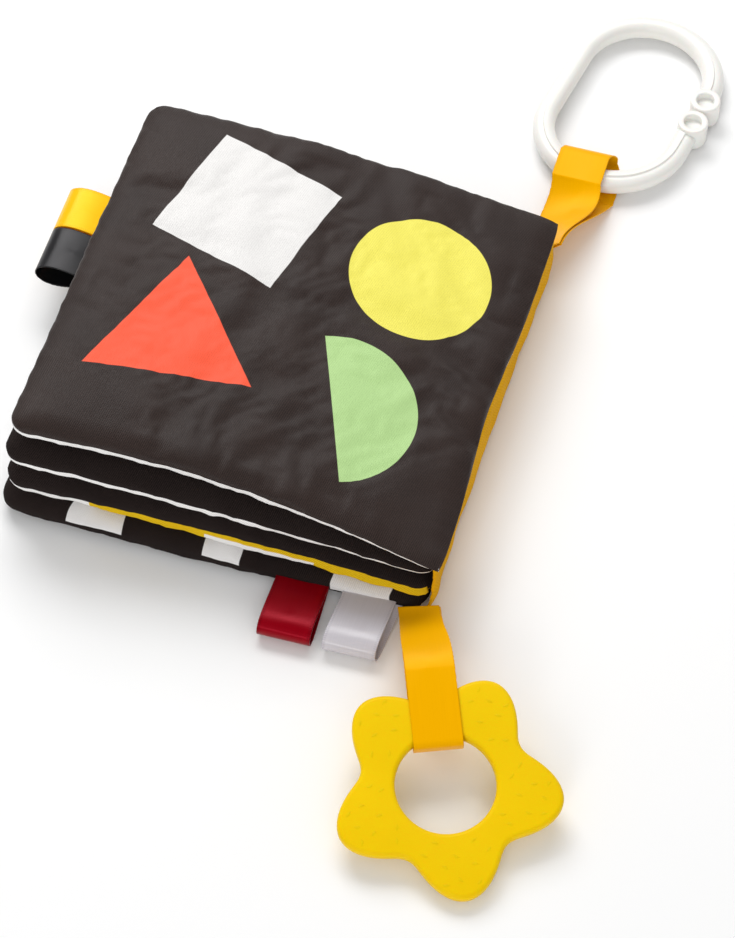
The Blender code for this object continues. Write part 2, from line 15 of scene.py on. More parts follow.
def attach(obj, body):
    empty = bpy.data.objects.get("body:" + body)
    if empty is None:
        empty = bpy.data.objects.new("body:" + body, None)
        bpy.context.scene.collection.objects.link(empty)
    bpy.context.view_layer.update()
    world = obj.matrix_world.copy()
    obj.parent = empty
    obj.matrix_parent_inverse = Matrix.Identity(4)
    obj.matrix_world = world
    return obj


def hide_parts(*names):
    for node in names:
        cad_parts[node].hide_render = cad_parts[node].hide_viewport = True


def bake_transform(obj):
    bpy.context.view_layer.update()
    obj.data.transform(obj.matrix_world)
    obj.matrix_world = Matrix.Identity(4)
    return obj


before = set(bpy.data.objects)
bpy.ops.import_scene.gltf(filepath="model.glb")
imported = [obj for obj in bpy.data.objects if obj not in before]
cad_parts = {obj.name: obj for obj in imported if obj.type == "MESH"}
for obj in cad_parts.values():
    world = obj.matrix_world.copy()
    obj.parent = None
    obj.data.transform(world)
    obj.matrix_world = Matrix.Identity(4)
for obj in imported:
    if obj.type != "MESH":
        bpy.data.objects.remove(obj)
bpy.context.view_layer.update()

# The leaves, in plan. Each stops short of the spine's line by HINGE_ROOM, and the front cover's
# corners at the spine are squarer than the others
BOOK_SIDE = 0.130
CORNER_RADIUS = 0.006
SPINE_CORNER_SOFTNESS = 0.35
LEAVES = ("back_cover", "leaf_three", "leaf_two", "front_cover")
TOP = len(LEAVES) - 1
HINGE_ROOM = 0.0011
SPINE_X = BOOK_SIDE / 2
SPINE_EDGE = SPINE_X - HINGE_ROOM
LEAF_WIDTH = BOOK_SIDE - HINGE_ROOM

# Each leaf's plan: its lower and upper corners at the spine, then its upper and lower corners at
# the free side, and how far its lower, spine, upper and free sides are drawn in
LEAF_CORNERS = (
    ((0.0615, -0.0680), (0.0615, 0.0623), (-0.0680, 0.0610), (-0.0680, -0.0693)),
    ((0.0630, -0.0667), (0.0630, 0.0632), (-0.0655, 0.0619), (-0.0655, -0.0684)),
    ((0.0630, -0.0647), (0.0630, 0.0643), (-0.0653, 0.0628), (-0.0653, -0.0672)),
    ((0.0654, -0.0664), (0.0655, 0.0652), (-0.0634, 0.0628), (-0.0634, -0.0645)),
)
LEAF_DRAW_INS = (
    (-0.0012, 0.0010, 0.0015, 0.0008),
    (0.0008, 0.0015, 0.0015, 0.0010),
    (0.0006, 0.0015, 0.0015, 0.0010),
    (0.0042, 0.0020, 0.0000, 0.0002),
)
# Where along the spine it is drawn in most, and over what share of its length
WAIST_PLACE_SHARE = 0.43
WAIST_LENGTH_SHARE = 0.19

# Soft creases in the front cover: where each starts and ends, its depth and its width
CREASES = (
    ((-0.0660, 0.0262), (-0.0360, 0.0305), 0.0009, 0.0036),
    ((0.0662, 0.0165), (0.0480, 0.0235), 0.0006, 0.0021),
    ((0.0655, -0.0035), (0.0455, 0.0050), 0.0007, 0.0023),
    ((0.0650, -0.0210), (0.0510, -0.0150), 0.0005, 0.0019),
    ((-0.0655, -0.0200), (-0.0500, -0.0180), 0.0004, 0.0025),
    ((0.0200, -0.0680), (0.0165, -0.0540), 0.0004, 0.0024),
)

# The leaves, in height. A leaf climbs from the spine by a power of its distance, and the front
# cover is a little flatter than the leaves below it
FIRST_SEAM_AT_SPINE = 0.0030
FIRST_SEAM_AT_FREE_SIDE = 0.0040
LEAF_PITCH_AT_SPINE = 0.0062
LEAF_PITCH_AT_FREE_SIDE = 0.0110
RISE_POWER = 1.6
COVER_DEPTH_SHARE = 0.68
LEAF_GAP = 0.0006
EDGE_ROLL = 0.0070

# How far a seam wanders and where the pleats run: broad ones over fine ones, and the roll of cloth
# beside each seam, which is fuller above it than below
SEAM_WANDER = 0.00065
FINE_PLEAT_PITCH, FINE_PLEAT_DEPTH, FINE_PLEAT_REACH = 0.0052, 0.00032, 0.0075
BROAD_PLEAT_PITCH, BROAD_PLEAT_DEPTH, BROAD_PLEAT_REACH = 0.013, 0.00034, 0.020
UPPER_ROLL, LOWER_ROLL = 0.00045, 0.00037
ROLL_FROM_SEAM = 0.0011
# Leaf three's yellow page shows below its lower seam: how much the seam rises, how much fuller the
# page's roll is, and how much further it lies from the seam
PAGE_RISE, PAGE_ROLL, PAGE_FROM_SEAM = 0.0014, 0.0024, 0.0008

# The wrinkles that the cloth simulation leaves: the share kept and the most they may be
WRINKLE_SHARE = 0.30
WRINKLE_LIMIT, COVER_WRINKLE_LIMIT = 0.0004, 0.0006
SETTLE_FRAMES = 20

# The cloth's grid: fine along the edges, even in between
EDGE_LINES = (0.0, 0.0002, 0.0005, 0.0009, 0.0014, 0.0021, 0.0030, 0.0042, 0.0060)
MIDDLE_STEPS = 110

# The spine's cloth: the heights of its folds and of the edges of its stretches, its face along the
# book, and how far it is tucked in at each height
SPINE_FOLDS = (0.0061, 0.0123, 0.0185)
SPINE_MARKS = (0.0, 0.0092, 0.0154, 0.0212)
SPINE_CLOTH_THICKNESS = 0.0005
SPINE_FACE = (
    (-0.0640, 0.0640), (-0.0490, 0.0637), (-0.0350, 0.0635), (-0.0150, 0.0638), (0.0050, 0.0639),
    (0.0260, 0.0643), (0.0470, 0.0649), (0.0560, 0.0650), (0.0640, 0.0648),
)
SPINE_TUCK = (
    (0.0000, 0.0020), (0.0020, 0.0010), (0.0045, 0.0004), (0.0061, 0.0002), (0.0092, 0.0000),
    (0.0123, 0.0002), (0.0154, 0.0000), (0.0185, 0.0002), (0.0200, 0.0006), (0.0214, 0.0018),
)

# Satin ribbon. Its solid's thickness places it, and its own is a little less
RIBBON_WIDTH = 0.0156
TEETHER_RIBBON_WIDTH = 0.0136
RIBBON_THICKNESS = 0.0005
SATIN_THICKNESS = 0.00035
PLY_GAP = 0.0003
PLY_OFFSET = (RIBBON_THICKNESS + PLY_GAP) / 2
PICOT_REACH = 0.00010
# Each holding ribbon's seam: where it starts along the back cover's edge, how far past the spine's
# line it ends, and how much higher
TEETHER_SEAM = (0.0542, 0.0012, 0.0064)
LINK_SEAM = (0.0554, 0.0014, 0.0110)
# Stations along a holding ribbon: from its seam to its level run, along that, and round each half
# of its bend
CLIMB_STATIONS, LEVEL_STATIONS, BEND_STATIONS = 90, 39, 9
TAG_STATIONS = 150

# The finishes' patterns. A pixel of the picture is about 0.3 mm of the book, so the real threads
# don't show. They are drawn as coarse as they need to: twill ribs 0.62 mm apart for 0.4 mm, their
# threads 0.42 mm for 0.2 mm, satin threads 0.34 mm for 0.1 mm, and the grain of a moulded skin
# 0.7 mm for 0.1 mm. The fuzz is the size of a tuft of fibres and a streak that of a few threads, a
# picot is as it is, and dye and plastic drift in tone over patches of about 2 cm.
RIB_PITCH = 0.00062
RIB_SLOPE = 0.85
THREAD_PITCH = 0.00042
FUZZ_SIZE = 0.000385
DYE_PATCH_SIZE = 0.0222
PRINT_EDGE = 0.00018
SATIN_THREAD_PITCH = 0.00034
STREAK_WIDTH, STREAK_LENGTH = 0.000385, 0.0167
PICOT_PITCH = 0.0006
COLOUR_PATCH_SIZE = 0.0167
SKIN_GRAIN_SIZE = 0.000714

# The tags: colour, leaf, side, place, height, the power that makes the fold blunt, how far the
# fold and the lower ply lie sideways, and how much further the fold reaches
TAG_REACH = 0.0184
TAGS = (
    ("yellow", 1, "free", 0.0312, 0.0085, 2, 0.0, 0.0, 0.0),
    ("black", 1, "free", 0.0148, 0.0085, 2, 0.0, 0.0, 0.0),
    ("red", 0, "lower", 0.0254, 0.0062, 7, -0.0003, 0.0, 0.0006),
    ("white", 0, "lower", 0.0452, 0.0062, 7, -0.0022, 0.0022, 0.0006),
)

# The flower teether: its heading from its seam, how far its middle is from the seam, its size, and
# how its petals are drawn out of its rim and the notches between them pressed soft
TEETHER_HEADING = math.radians(-67.5)
TEETHER_REACH = 0.0593
FLOWER_OFF_MIDDLE = 0.00075
FLOWER_NOTCH_RADIUS = 0.0234
FLOWER_TIP_RADIUS = 0.0324
FLOWER_HOLE_RADIUS = 0.01385
FLOWER_THICKNESS = 0.0042
FLOWER_EDGE_RADIUS = 0.0014
FLOWER_PETALS = 5
PETAL_SPREAD = 1.12
PETAL_OVERLAP = 0.0010
NOTCH_PRESS = 1.016
NOTCH_SOFTNESS = 0.0036
FLOWER_TURN = math.radians(4)
FLOWER_TILT = math.radians(12)
FLOWER_HEIGHT = 0.0092
# The raised crescents of one petal: distance from the middle, and degrees off the petal's line
CRESCENT_SPOTS = (
    (0.0174, -20), (0.0178, 16), (0.0202, -2), (0.0208, -26), (0.0212, 22), (0.0240, 9),
    (0.0238, -11), (0.0268, -1), (0.0284, 8), (0.0280, -10),
)

# The link ring: its heading from its seam and how far its held bar is from the seam, then its bar
# and the bosses at its open ends
LINK_HEADING = math.radians(83.1)
LINK_REACH = 0.0360
RING_BEND_RADIUS = 0.0220
RING_STRAIGHT = 0.0245
RING_TURN = math.radians(-10)
RING_BAR_WIDTH = 0.0070
RING_BAR_HEIGHT = 0.0066
RING_BAR_ROUNDING = 0.0028
RING_LEDGE_DEPTH = 0.0006
BOSS_RADIUS = 0.0048
BOSS_HEIGHT = 0.0082
BOSS_RECESS_RADIUS = 0.0028
BOSS_RECESS_DEPTH = 0.0024
BOSS_SPREAD = 0.0101 / 2
BOSS_OUTSET = 0.0006
BOSS_RIM_ROUNDING = 0.0005
BAR_IN_BOSS = 0.0031
BOSSES_PAST_MIDDLE = 0.0036

# How far a corner may be from its place and still be picked
SLACK = 0.00001


# ---------------------------------------------------------------- finishes

def linear(text):
    """A colour given as sRGB hex, as linear values with full alpha."""
    values = [int(text[start:start + 2], 16) / 255 for start in (1, 3, 5)]
    return (*[v / 12.92 if v <= 0.04045 else ((v + 0.055) / 1.055) ** 2.4 for v in values], 1.0)


def node(tree, kind, inputs=(), output=0, **settings):
    """Add a shader node with its settings, values and links, and give one of its outputs."""
    made = tree.nodes.new("ShaderNode" + kind)
    for name, value in settings.items():
        setattr(made, name, value)
    for key, value in inputs.items() if isinstance(inputs, dict) else enumerate(inputs):
        if isinstance(value, bpy.types.NodeSocket):
            tree.links.new(value, made.inputs[key])
        else:
            made.inputs[key].default_value = value
    return made.outputs[output]


def start_finish(name, **values):
    """A new material and its node tree, its shader's sockets set to plain values."""
    material = bpy.data.materials.new(name)
    material.use_nodes = True
    tree = material.node_tree
    for key, value in values.items():
        tree.nodes["Principled BSDF"].inputs[key.replace("_", " ")].default_value = value
    return material, tree


def surface(tree, colour, relief, depth, strength):
    """Give a finish its colour and its relief, of a depth in metres."""
    shader = tree.nodes["Principled BSDF"]
    bump = node(tree, "Bump", {"Strength": strength, "Distance": depth, "Height": relief})
    tree.links.new(colour, shader.inputs["Base Color"])
    tree.links.new(bump, shader.inputs["Normal"])


def cloth_place(tree, centre=(0.0, 0.0), degrees=0.0):
    """A point's place on the flat cloth in metres, from a centre and turned by an angle."""
    return node(tree, "Mapping", {
        "Vector": node(tree, "UVMap", uv_map="weave"), "Location": (*centre, 0.0),
        "Rotation": (0.0, 0.0, math.radians(degrees))}, vector_type="TEXTURE")


def across_and_up(tree, centre=(0.0, 0.0), degrees=0.0):
    """The two parts of a point's place on the flat cloth."""
    across = node(tree, "SeparateXYZ", [cloth_place(tree, centre, degrees)])
    return across, across.node.outputs["Y"]


def waves(tree, place, pitch):
    """A wave from 0 to 1 with a pitch in metres."""
    angle = node(tree, "Math", (place, 2 * math.pi / pitch), operation="MULTIPLY")
    wave = node(tree, "Math", [angle], operation="SINE")
    return node(tree, "Math", (wave, 0.5, 0.5), operation="MULTIPLY_ADD")


def twill(tree):
    """The relief of a twill: its diagonal ribs, broken by its threads and its fuzz."""
    across, up = across_and_up(tree)
    ribs = waves(tree, node(tree, "Math", (up, RIB_SLOPE, across), operation="MULTIPLY_ADD"),
                 RIB_PITCH)
    threads = node(tree, "Math", (waves(tree, up, THREAD_PITCH), 0.45, 0.55),
                   operation="MULTIPLY_ADD")
    fuzz = node(tree, "TexNoise", {"Vector": cloth_place(tree), "Scale": 1 / FUZZ_SIZE,
                                   "Detail": 3.0})
    woven = node(tree, "Math", (ribs, threads), operation="MULTIPLY")
    fuzz = node(tree, "Math", (fuzz, 0.7), operation="MULTIPLY")
    return node(tree, "Math", (woven, 0.6, fuzz), operation="MULTIPLY_ADD")


def cloth(name, dark, light, printed=None, roughness=0.88, gleam=0.06):
    """Polyester twill with painted shade from its relief: its threads drawn dark in their furrows
    and light on their crowns, as light falls on the ribs. printed lays inks over it, which the
    same painted shade darkens in the furrows."""
    material, tree = start_finish(name, Roughness=roughness, Sheen_Weight=0.02,
                                  Sheen_Roughness=0.4, Specular_IOR_Level=gleam)
    weave = twill(tree)
    dye = node(tree, "TexNoise", {"Vector": cloth_place(tree), "Scale": 1 / DYE_PATCH_SIZE,
                                  "Detail": 2.0})
    dye = node(tree, "Math", (dye, 0.5, -1.05), operation="MULTIPLY_ADD")
    # Painted shade: the weave's relief draws the furrows dark and the crowns light, over a random
    # drift in the dye
    rib_shade_and_dye = node(tree, "Math", (weave, 2.3, dye), operation="MULTIPLY_ADD", use_clamp=True)
    colour = node(tree, "Mix", {"Factor": rib_shade_and_dye, 6: linear(dark), 7: linear(light)}, 2,
                  data_type="RGBA")
    if printed:
        # Painted shade on the inks too, darker in the furrows of the weave
        shade = node(tree, "Math", (weave, 0.60, 0.62), operation="MULTIPLY_ADD", use_clamp=True)
        for ink, distance in printed(tree):
            mask = node(tree, "Math", (distance, -1 / PRINT_EDGE, 0.5), operation="MULTIPLY_ADD",
                        use_clamp=True)
            shaded = node(tree, "HueSaturation", {"Value": shade, "Color": linear(ink)})
            colour = node(tree, "Mix", {"Factor": mask, 6: colour, 7: shaded}, 2,
                          data_type="RGBA")
    surface(tree, colour, weave, 0.00016, 0.6)
    return material


def disc(tree, centre, radius):
    """Distance outside a circle."""
    away = node(tree, "VectorMath", [cloth_place(tree, centre)], "Value", operation="LENGTH")
    return node(tree, "Math", (away, radius), operation="SUBTRACT")


def block(tree, centre, half_width, half_height, degrees=0.0):
    """Distance outside a rectangle."""
    past = []
    for place, half in zip(across_and_up(tree, centre, degrees), (half_width, half_height)):
        size = node(tree, "Math", [place], operation="ABSOLUTE")
        past.append(node(tree, "Math", (size, half), operation="SUBTRACT"))
    return node(tree, "Math", past, operation="MAXIMUM")


def triangle(tree, centre, radius, degrees):
    """Distance outside a triangle with equal sides, from the radius of the circle inside it."""
    first, second, third = (across_and_up(tree, centre, degrees + turn)[0]
                            for turn in (0, 120, 240))
    past = node(tree, "Math", (first, second), operation="MAXIMUM")
    past = node(tree, "Math", (past, third), operation="MAXIMUM")
    return node(tree, "Math", (past, radius), operation="SUBTRACT")


def cover_print(tree):
    """Four large plain shapes, as inks and distances outside them: a white square, a yellow disc,
    a red triangle and a green half disc."""
    half_disc = (disc(tree, (0.0220, -0.0270), 0.0250),
                 across_and_up(tree, (0.0220, -0.0270), 202)[0])
    return (("#eceae8", block(tree, (-0.0225, 0.0310), 0.0205, 0.0205, 76)),
            ("#f4ea64", disc(tree, (0.0330, 0.0265), 0.0215)),
            ("#ff5f3f", triangle(tree, (-0.0285, -0.0195), 0.0142, 40)),
            ("#b6da92", node(tree, "Math", half_disc, operation="MAXIMUM")))


def contrast_patches(tree):
    """White blocks and a quarter disc on the black page: a row along its lower edge and more
    further in."""
    nearest = None
    for row, up in enumerate((-0.0600, -0.0240, 0.0120, 0.0480)):
        for place, half in ((-0.0382, 0.0086), (0.0009, 0.0057), (0.0427, 0.0088)):
            across = place + (0.0195 if row % 2 else 0.0)
            if across > 0.050:
                continue
            spot = block(tree, (across, up), half, 0.0110)
            if across < -0.030:
                quarter = disc(tree, (across + half, up - 0.0105), 2 * half)
                spot = node(tree, "Math", (spot, quarter), operation="MAXIMUM")
            nearest = spot if nearest is None else node(tree, "Math", (nearest, spot),
                                                        operation="MINIMUM")
    return [("#e9e7e6", nearest)]


def yellow_page_print(tree):
    """White blocks on the yellow page: one at its free corner and one set back from its edge."""
    hem = node(tree, "Attribute", output="Fac", attribute_name="hem")
    corner = node(tree, "Math", (across_and_up(tree)[0], 0.0395), operation="ADD")
    from_hem = node(tree, "Math", (0.0011, hem), operation="SUBTRACT")
    strip = node(tree, "Math", (block(tree, (0.0120, -0.0560), 0.0165, 0.0200), from_hem),
                 operation="MAXIMUM")
    return [("#efedeb", node(tree, "Math", (corner, strip), operation="MINIMUM"))]


def satin(name, colour, shadow, gloss, shine):
    """Woven satin ribbon with a picot edge. shine tints its highlight, and shadow is the colour of
    the painted shade in its streaks and picots.
    """
    material, tree = start_finish(name, Roughness=gloss, Anisotropic=0.6,
                                  Specular_Tint=linear(shine))
    across, along = across_and_up(tree)
    streak = node(tree, "TexNoise", {
        "Vector": node(tree, "Mapping", {
            "Vector": cloth_place(tree),
            "Scale": (1 / STREAK_WIDTH, 1 / STREAK_LENGTH, 1.0)}),
        "Scale": 1.0, "Detail": 2.0})
    off_middle = node(tree, "Math", [across], operation="ABSOLUTE")
    rim = node(tree, "Math", (off_middle, 0.44 * RIBBON_WIDTH), operation="GREATER_THAN")
    picots = node(tree, "Math", (rim, waves(tree, along, PICOT_PITCH)), operation="MULTIPLY")
    # Painted shade: the streaks and the picots of the rim are drawn towards the shadow colour
    deep = node(tree, "Math", (picots, 0.6), operation="MULTIPLY")
    deep = node(tree, "Math", (streak, 0.5, deep), operation="MULTIPLY_ADD", use_clamp=True)
    mixed = node(tree, "Mix", {"Factor": deep, 6: linear(colour), 7: linear(shadow)}, 2,
                 data_type="RGBA")
    relief = node(tree, "Math", (streak, 0.35, picots), operation="MULTIPLY_ADD")
    relief = node(tree, "Math", (waves(tree, across, SATIN_THREAD_PITCH), 0.25, relief),
                  operation="MULTIPLY_ADD")
    surface(tree, mixed, relief, 0.00008, 0.25)
    return material


def moulded(name, colour, shade, depth, **values):
    """Moulded rubber or plastic, with a faint drift in its colour and a fine eggshell skin."""
    material, tree = start_finish(name, **values)
    place = node(tree, "TexCoord", output="Object")
    drift = node(tree, "TexNoise", {"Vector": place, "Scale": 1 / COLOUR_PATCH_SIZE,
                                    "Detail": 2.0})
    skin = node(tree, "TexNoise", {"Vector": place, "Scale": 1 / SKIN_GRAIN_SIZE, "Detail": 3.0})
    mixed = node(tree, "Mix", {"Factor": drift, 6: linear(colour), 7: linear(shade)}, 2,
                 data_type="RGBA")
    surface(tree, mixed, skin, depth, 0.2)
    return material


# Polyester twill, woven, dyed black and heat printed: close diagonal ribs, and a low gleam where
# the press has flattened the threads
COVER_TWILL = cloth("printed polyester twill", "#0d0605", "#3a2b26", cover_print, 0.46, 0.22)
# The same twill with its threads left brushed: quite matt, so the pages fall almost to black
BLACK_TWILL = cloth("black polyester twill", "#100b0b", "#2f2725")
PATCHED_TWILL = cloth("patched polyester twill", "#100b0b", "#2f2725", contrast_patches)
# Bleached and yellow-dyed twill: matt, with only a faint shade between the ribs
WHITE_TWILL = cloth("white polyester twill", "#e2dfdd", "#faf9f8")
YELLOW_TWILL = cloth("yellow polyester twill", "#c79a10", "#e8c41e", yellow_page_print)
# The spine's own twill, dyed a deeper yellow: matt, with painted shade that turns its furrows
# orange
SPINE_TWILL = cloth("deep yellow polyester twill", "#cf9200", "#edb30c")
# Polyester satin ribbon, woven with its long threads on the face and ironed: a bright gleam drawn
# out across the threads, and faint streaks along it and a beaded rim, in relief and darkened with
# painted shade
SATINS = {
    "yellow": satin("yellow polyester satin", "#fbc200", "#eea800", 0.26, "#fff04a"),
    "black": satin("black polyester satin", "#161618", "#0b0b0c", 0.34, "#b0aeb0"),
    "red": satin("red polyester satin", "#8e0010", "#5e0008", 0.28, "#ff4a62"),
    "white": satin("white polyester satin", "#cac6cc", "#b2aeb6", 0.26, "#ffffff"),
    "holding": satin("deep yellow polyester satin", "#f4b000", "#e6a200", 0.36, "#ffc400"),
}
# Silicone rubber, moulded in a blasted mould: a broad dull gleam, and a little light in its depth
SILICONE = moulded("moulded yellow silicone", "#f2cb00", "#eac100", 0.00004, Roughness=0.50,
                   Specular_IOR_Level=0.30, Specular_Tint=linear("#ffe27a"),
                   Subsurface_Weight=0.12, Subsurface_Scale=0.003)
# Polypropylene, injection moulded in a polished mould: a clean gloss over a slightly milky white
RING_PLASTIC = moulded("moulded white polypropylene", "#efeeea", "#e9e8e2", 0.00002,
                       Roughness=0.30, Subsurface_Weight=0.1, Subsurface_Scale=0.002)
# Matt white studio paper, rolled: no gleam, so only the toy's shadow shows on it
PAPER = start_finish("white studio paper", Roughness=0.9, Specular_IOR_Level=0.1,
                     Base_Color=linear("#f6f6f6"))[0]


# ---------------------------------------------------------------- mesh helpers

def new_piece(name, vertices, faces, materials, places=None, kinds=None, hem=None):
    """A smooth mesh object. kinds gives each face's material, places each vertex's place on the
    flat cloth and hem its distance from the cloth's edge."""
    data = bpy.data.meshes.new(name)
    data.from_pydata([tuple(v) for v in vertices], [], [tuple(f) for f in faces])
    for material in materials:
        data.materials.append(material)
    if kinds is not None:
        data.polygons.foreach_set("material_index", kinds)
    if places is not None:
        layer = data.uv_layers.new(name="weave")
        loops = np.empty(len(data.loops), dtype=np.int32)
        data.loops.foreach_get("vertex_index", loops)
        layer.data.foreach_set("uv", np.asarray(places, float)[loops].ravel())
    if hem is not None:
        data.attributes.new("hem", "FLOAT", "POINT").data.foreach_set("value", hem)
    data.validate()
    data.shade_smooth()
    piece = bpy.data.objects.new(name, data)
    bpy.context.scene.collection.objects.link(piece)
    return piece


def begin(add_primitive, **settings):
    """Add a primitive with nothing else selected, and open it in edit mode."""
    bpy.ops.object.select_all(action="DESELECT")
    add_primitive(**settings)
    bpy.ops.object.transform_apply(location=True, rotation=True, scale=True)
    bpy.ops.object.mode_set(mode="EDIT")
    return bpy.context.object


def pick(piece, test, kind="VERT"):
    """Select only the vertices, edges or faces whose corners all pass a test of their place."""
    bpy.ops.mesh.select_mode(type=kind)
    bpy.ops.mesh.select_all(action="DESELECT")
    form = bmesh.from_edit_mesh(piece.data)
    for part in {"VERT": form.verts, "EDGE": form.edges, "FACE": form.faces}[kind]:
        corners = [part] if kind == "VERT" else part.verts
        part.select_set(not part.hide and all(test(corner.co) for corner in corners))
    bmesh.update_edit_mesh(piece.data)


def end(piece, name):
    """Close edit mode: doubles merged, faces outwards, smooth but for the sharp edges."""
    bpy.ops.mesh.select_all(action="SELECT")
    bpy.ops.mesh.remove_doubles(threshold=0.000001)
    bpy.ops.mesh.normals_make_consistent(inside=False)
    bpy.ops.object.mode_set(mode="OBJECT")
    bpy.ops.object.shade_smooth_by_angle(angle=math.radians(50))
    piece.name = piece.data.name = name
    return piece


def soften_edges(radius, segments, clamped=True):
    """Bevel the open piece's sharp edges."""
    bpy.ops.mesh.select_mode(type="EDGE")
    bpy.ops.mesh.select_all(action="DESELECT")
    bpy.ops.mesh.edges_select_sharp(sharpness=math.radians(60))
    bpy.ops.mesh.bevel(offset=radius, segments=segments, affect="EDGES", clamp_overlap=clamped)


def copy_of(piece, place, mirrored=False):
    """A copy with its own mesh, moved to a place."""
    twin = bpy.data.objects.new(piece.name, piece.data.copy())
    twin.data.transform(place)
    if mirrored:
        twin.data.flip_normals()
    bpy.context.scene.collection.objects.link(twin)
    return twin


def choose(pieces):
    """Select only these objects, the first of them active."""
    bpy.ops.object.select_all(action="DESELECT")
    for piece in pieces:
        piece.select_set(True)
    bpy.context.view_layer.objects.active = pieces[0]


def stand_in(piece, body, slot, *nodes):
    """Make a piece ride on a body in place of CAD nodes. slot is not used."""
    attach(piece, body)
    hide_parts(*nodes)


def settle_in(piece, place, material):
    """Move a piece's mesh to its place in the whole, and give it its material."""
    piece.data.transform(place)
    piece.data.materials.clear()
    piece.data.materials.append(material)


def grid_faces(columns, rows, start=0, flip=False, wrap=False):
    """Quads over a grid of rows by columns of vertices. wrap joins the last column to the
    first."""
    faces = []
    for row in range(rows - 1):
        for column in range(columns if wrap else columns - 1):
            following = (column + 1) % columns
            a = start + row * columns + column
            b = start + row * columns + following
            face = (a, b, b + columns, a + columns)
            faces.append(face[::-1] if flip else face)
    return faces


def rise(from_spine):
    """How far a leaf has climbed at a distance from the spine, from 0 to 1."""
    share = np.clip(np.asarray(from_spine) / LEAF_WIDTH, 0.0, 1.0)
    return 1 - (1 - share) ** RISE_POWER


def seam_height(leaf, from_spine):
    """Height of a leaf's seam."""
    low = FIRST_SEAM_AT_SPINE + leaf * LEAF_PITCH_AT_SPINE
    high = FIRST_SEAM_AT_FREE_SIDE + leaf * LEAF_PITCH_AT_FREE_SIDE
    return low + (high - low) * rise(from_spine)


def half_thickness(leaf, from_spine, side):
    """A leaf's depth above (side 1) or below (side -1) its seam, where it is fullest."""
    if leaf == 0 and side < 0:
        return seam_height(0, from_spine)
    pitch = LEAF_PITCH_AT_SPINE + (LEAF_PITCH_AT_FREE_SIDE - LEAF_PITCH_AT_SPINE) * rise(from_spine)
    if leaf == TOP and side > 0:
        return pitch / 2 * COVER_DEPTH_SHARE
    return (pitch - LEAF_GAP) / 2


def ripple(values, seed, pitch):
    """Smooth waves from about -1 to 1 along a length, the same each run."""
    flat = np.asarray(values, float).ravel()
    made = [noise.noise(Vector((value / pitch, seed * 7.31, seed * 1.7))) for value in flat]
    return (np.array(made) * 1.6).reshape(np.shape(values))


def rumple(x, y, seed, pitch):
    """Smooth hills over an area from about -1 to 1, the same each run."""
    made = [noise.noise(Vector((a / pitch, b / pitch, seed * 3.17)))
            for a, b in zip(np.ravel(x), np.ravel(y))]
    return (np.array(made) * 1.6).reshape(np.shape(x))


# ---------------------------------------------------------------- the padded leaves

def grid_lines():
    """Grid lines over a leaf from -1 to 1, close together near its edges."""
    edge = np.array(EDGE_LINES) / (BOOK_SIDE / 2)
    middle = np.linspace(-1 + edge[-1], 1 - edge[-1], MIDDLE_STEPS + 1)
    return np.concatenate([-1 + edge[:-1], middle, (1 - edge[:-1])[::-1]])


def leaf_plan(leaf):
    """A leaf's grid in plan: x, y, distance from the edge and the outward direction."""
    lines = grid_lines()
    u, v = np.meshgrid(lines, lines)
    flat = 1 - 2 * CORNER_RADIUS / BOOK_SIDE
    a = np.clip((np.abs(u) - flat) / (1 - flat), 0, None)
    b = np.clip((np.abs(v) - flat) / (1 - flat), 0, None)
    corner = (a > 0) & (b > 0)
    round_u = a * np.sqrt(1 - b ** 2 / 2)
    round_v = b * np.sqrt(1 - a ** 2 / 2)
    softness = np.where((u > 0) & (leaf == TOP), SPINE_CORNER_SOFTNESS, 1.0)
    soft_u = a * np.sqrt(1 - softness * b ** 2 / 2)
    soft_v = b * np.sqrt(1 - softness * a ** 2 / 2)
    square_u = np.where(corner, np.sign(u) * (flat + (1 - flat) * soft_u), u)
    square_v = np.where(corner, np.sign(v) * (flat + (1 - flat) * soft_v), v)
    reach = np.hypot(round_u, round_v)
    from_edge = np.where(corner, CORNER_RADIUS * (1 - reach),
                         (1 - np.maximum(np.abs(u), np.abs(v))) * BOOK_SIDE / 2)
    sideways = np.abs(u) > np.abs(v)
    out_u = np.where(corner, round_u / np.maximum(reach, 1e-9), sideways.astype(float))
    out_v = np.where(corner, round_v / np.maximum(reach, 1e-9), (~sideways).astype(float))
    low_spine, high_spine, high_free, low_free = (np.array(p) for p in LEAF_CORNERS[leaf])
    lower, spine, upper, free = LEAF_DRAW_INS[leaf]
    across, up = (1 + square_u) / 2, (1 + square_v) / 2
    place = [low_free[k] * (1 - across) * (1 - up) + low_spine[k] * across * (1 - up)
             + high_free[k] * (1 - across) * up + high_spine[k] * across * up for k in (0, 1)]
    waist = np.exp(-((up - WAIST_PLACE_SHARE) / WAIST_LENGTH_SHARE) ** 2)
    x = place[0] + free * (1 - across) * np.sin(np.pi * up) - spine * across * waist
    y = place[1] + (lower * (1 - up) - upper * up) * np.sin(np.pi * across)
    return x, y, from_edge, out_u * np.sign(u), out_v * np.sign(v)


def puckers(leaf, side, x, y, from_edge):
    """Small pleats that run in from each seam and die away, as a sewn and turned edge has."""
    seed = 11 + leaf * 5 + side
    half = BOOK_SIDE / 2
    total = np.zeros_like(x)
    for number, (away, along) in enumerate(((half + x, y), (half - x, y), (half + y, x),
                                            (half - y, x))):
        fine = ripple(along + away * 0.25, seed + number, FINE_PLEAT_PITCH)
        broad = ripple(along - away * 0.2, seed + number + 40, BROAD_PLEAT_PITCH)
        near = np.exp(-np.clip(away, 0, None) / FINE_PLEAT_REACH)
        wide = np.exp(-np.clip(away, 0, None) / BROAD_PLEAT_REACH)
        total += fine * near * FINE_PLEAT_DEPTH + broad * wide * BROAD_PLEAT_DEPTH
    return total * np.clip(from_edge / 0.0016, 0, 1)


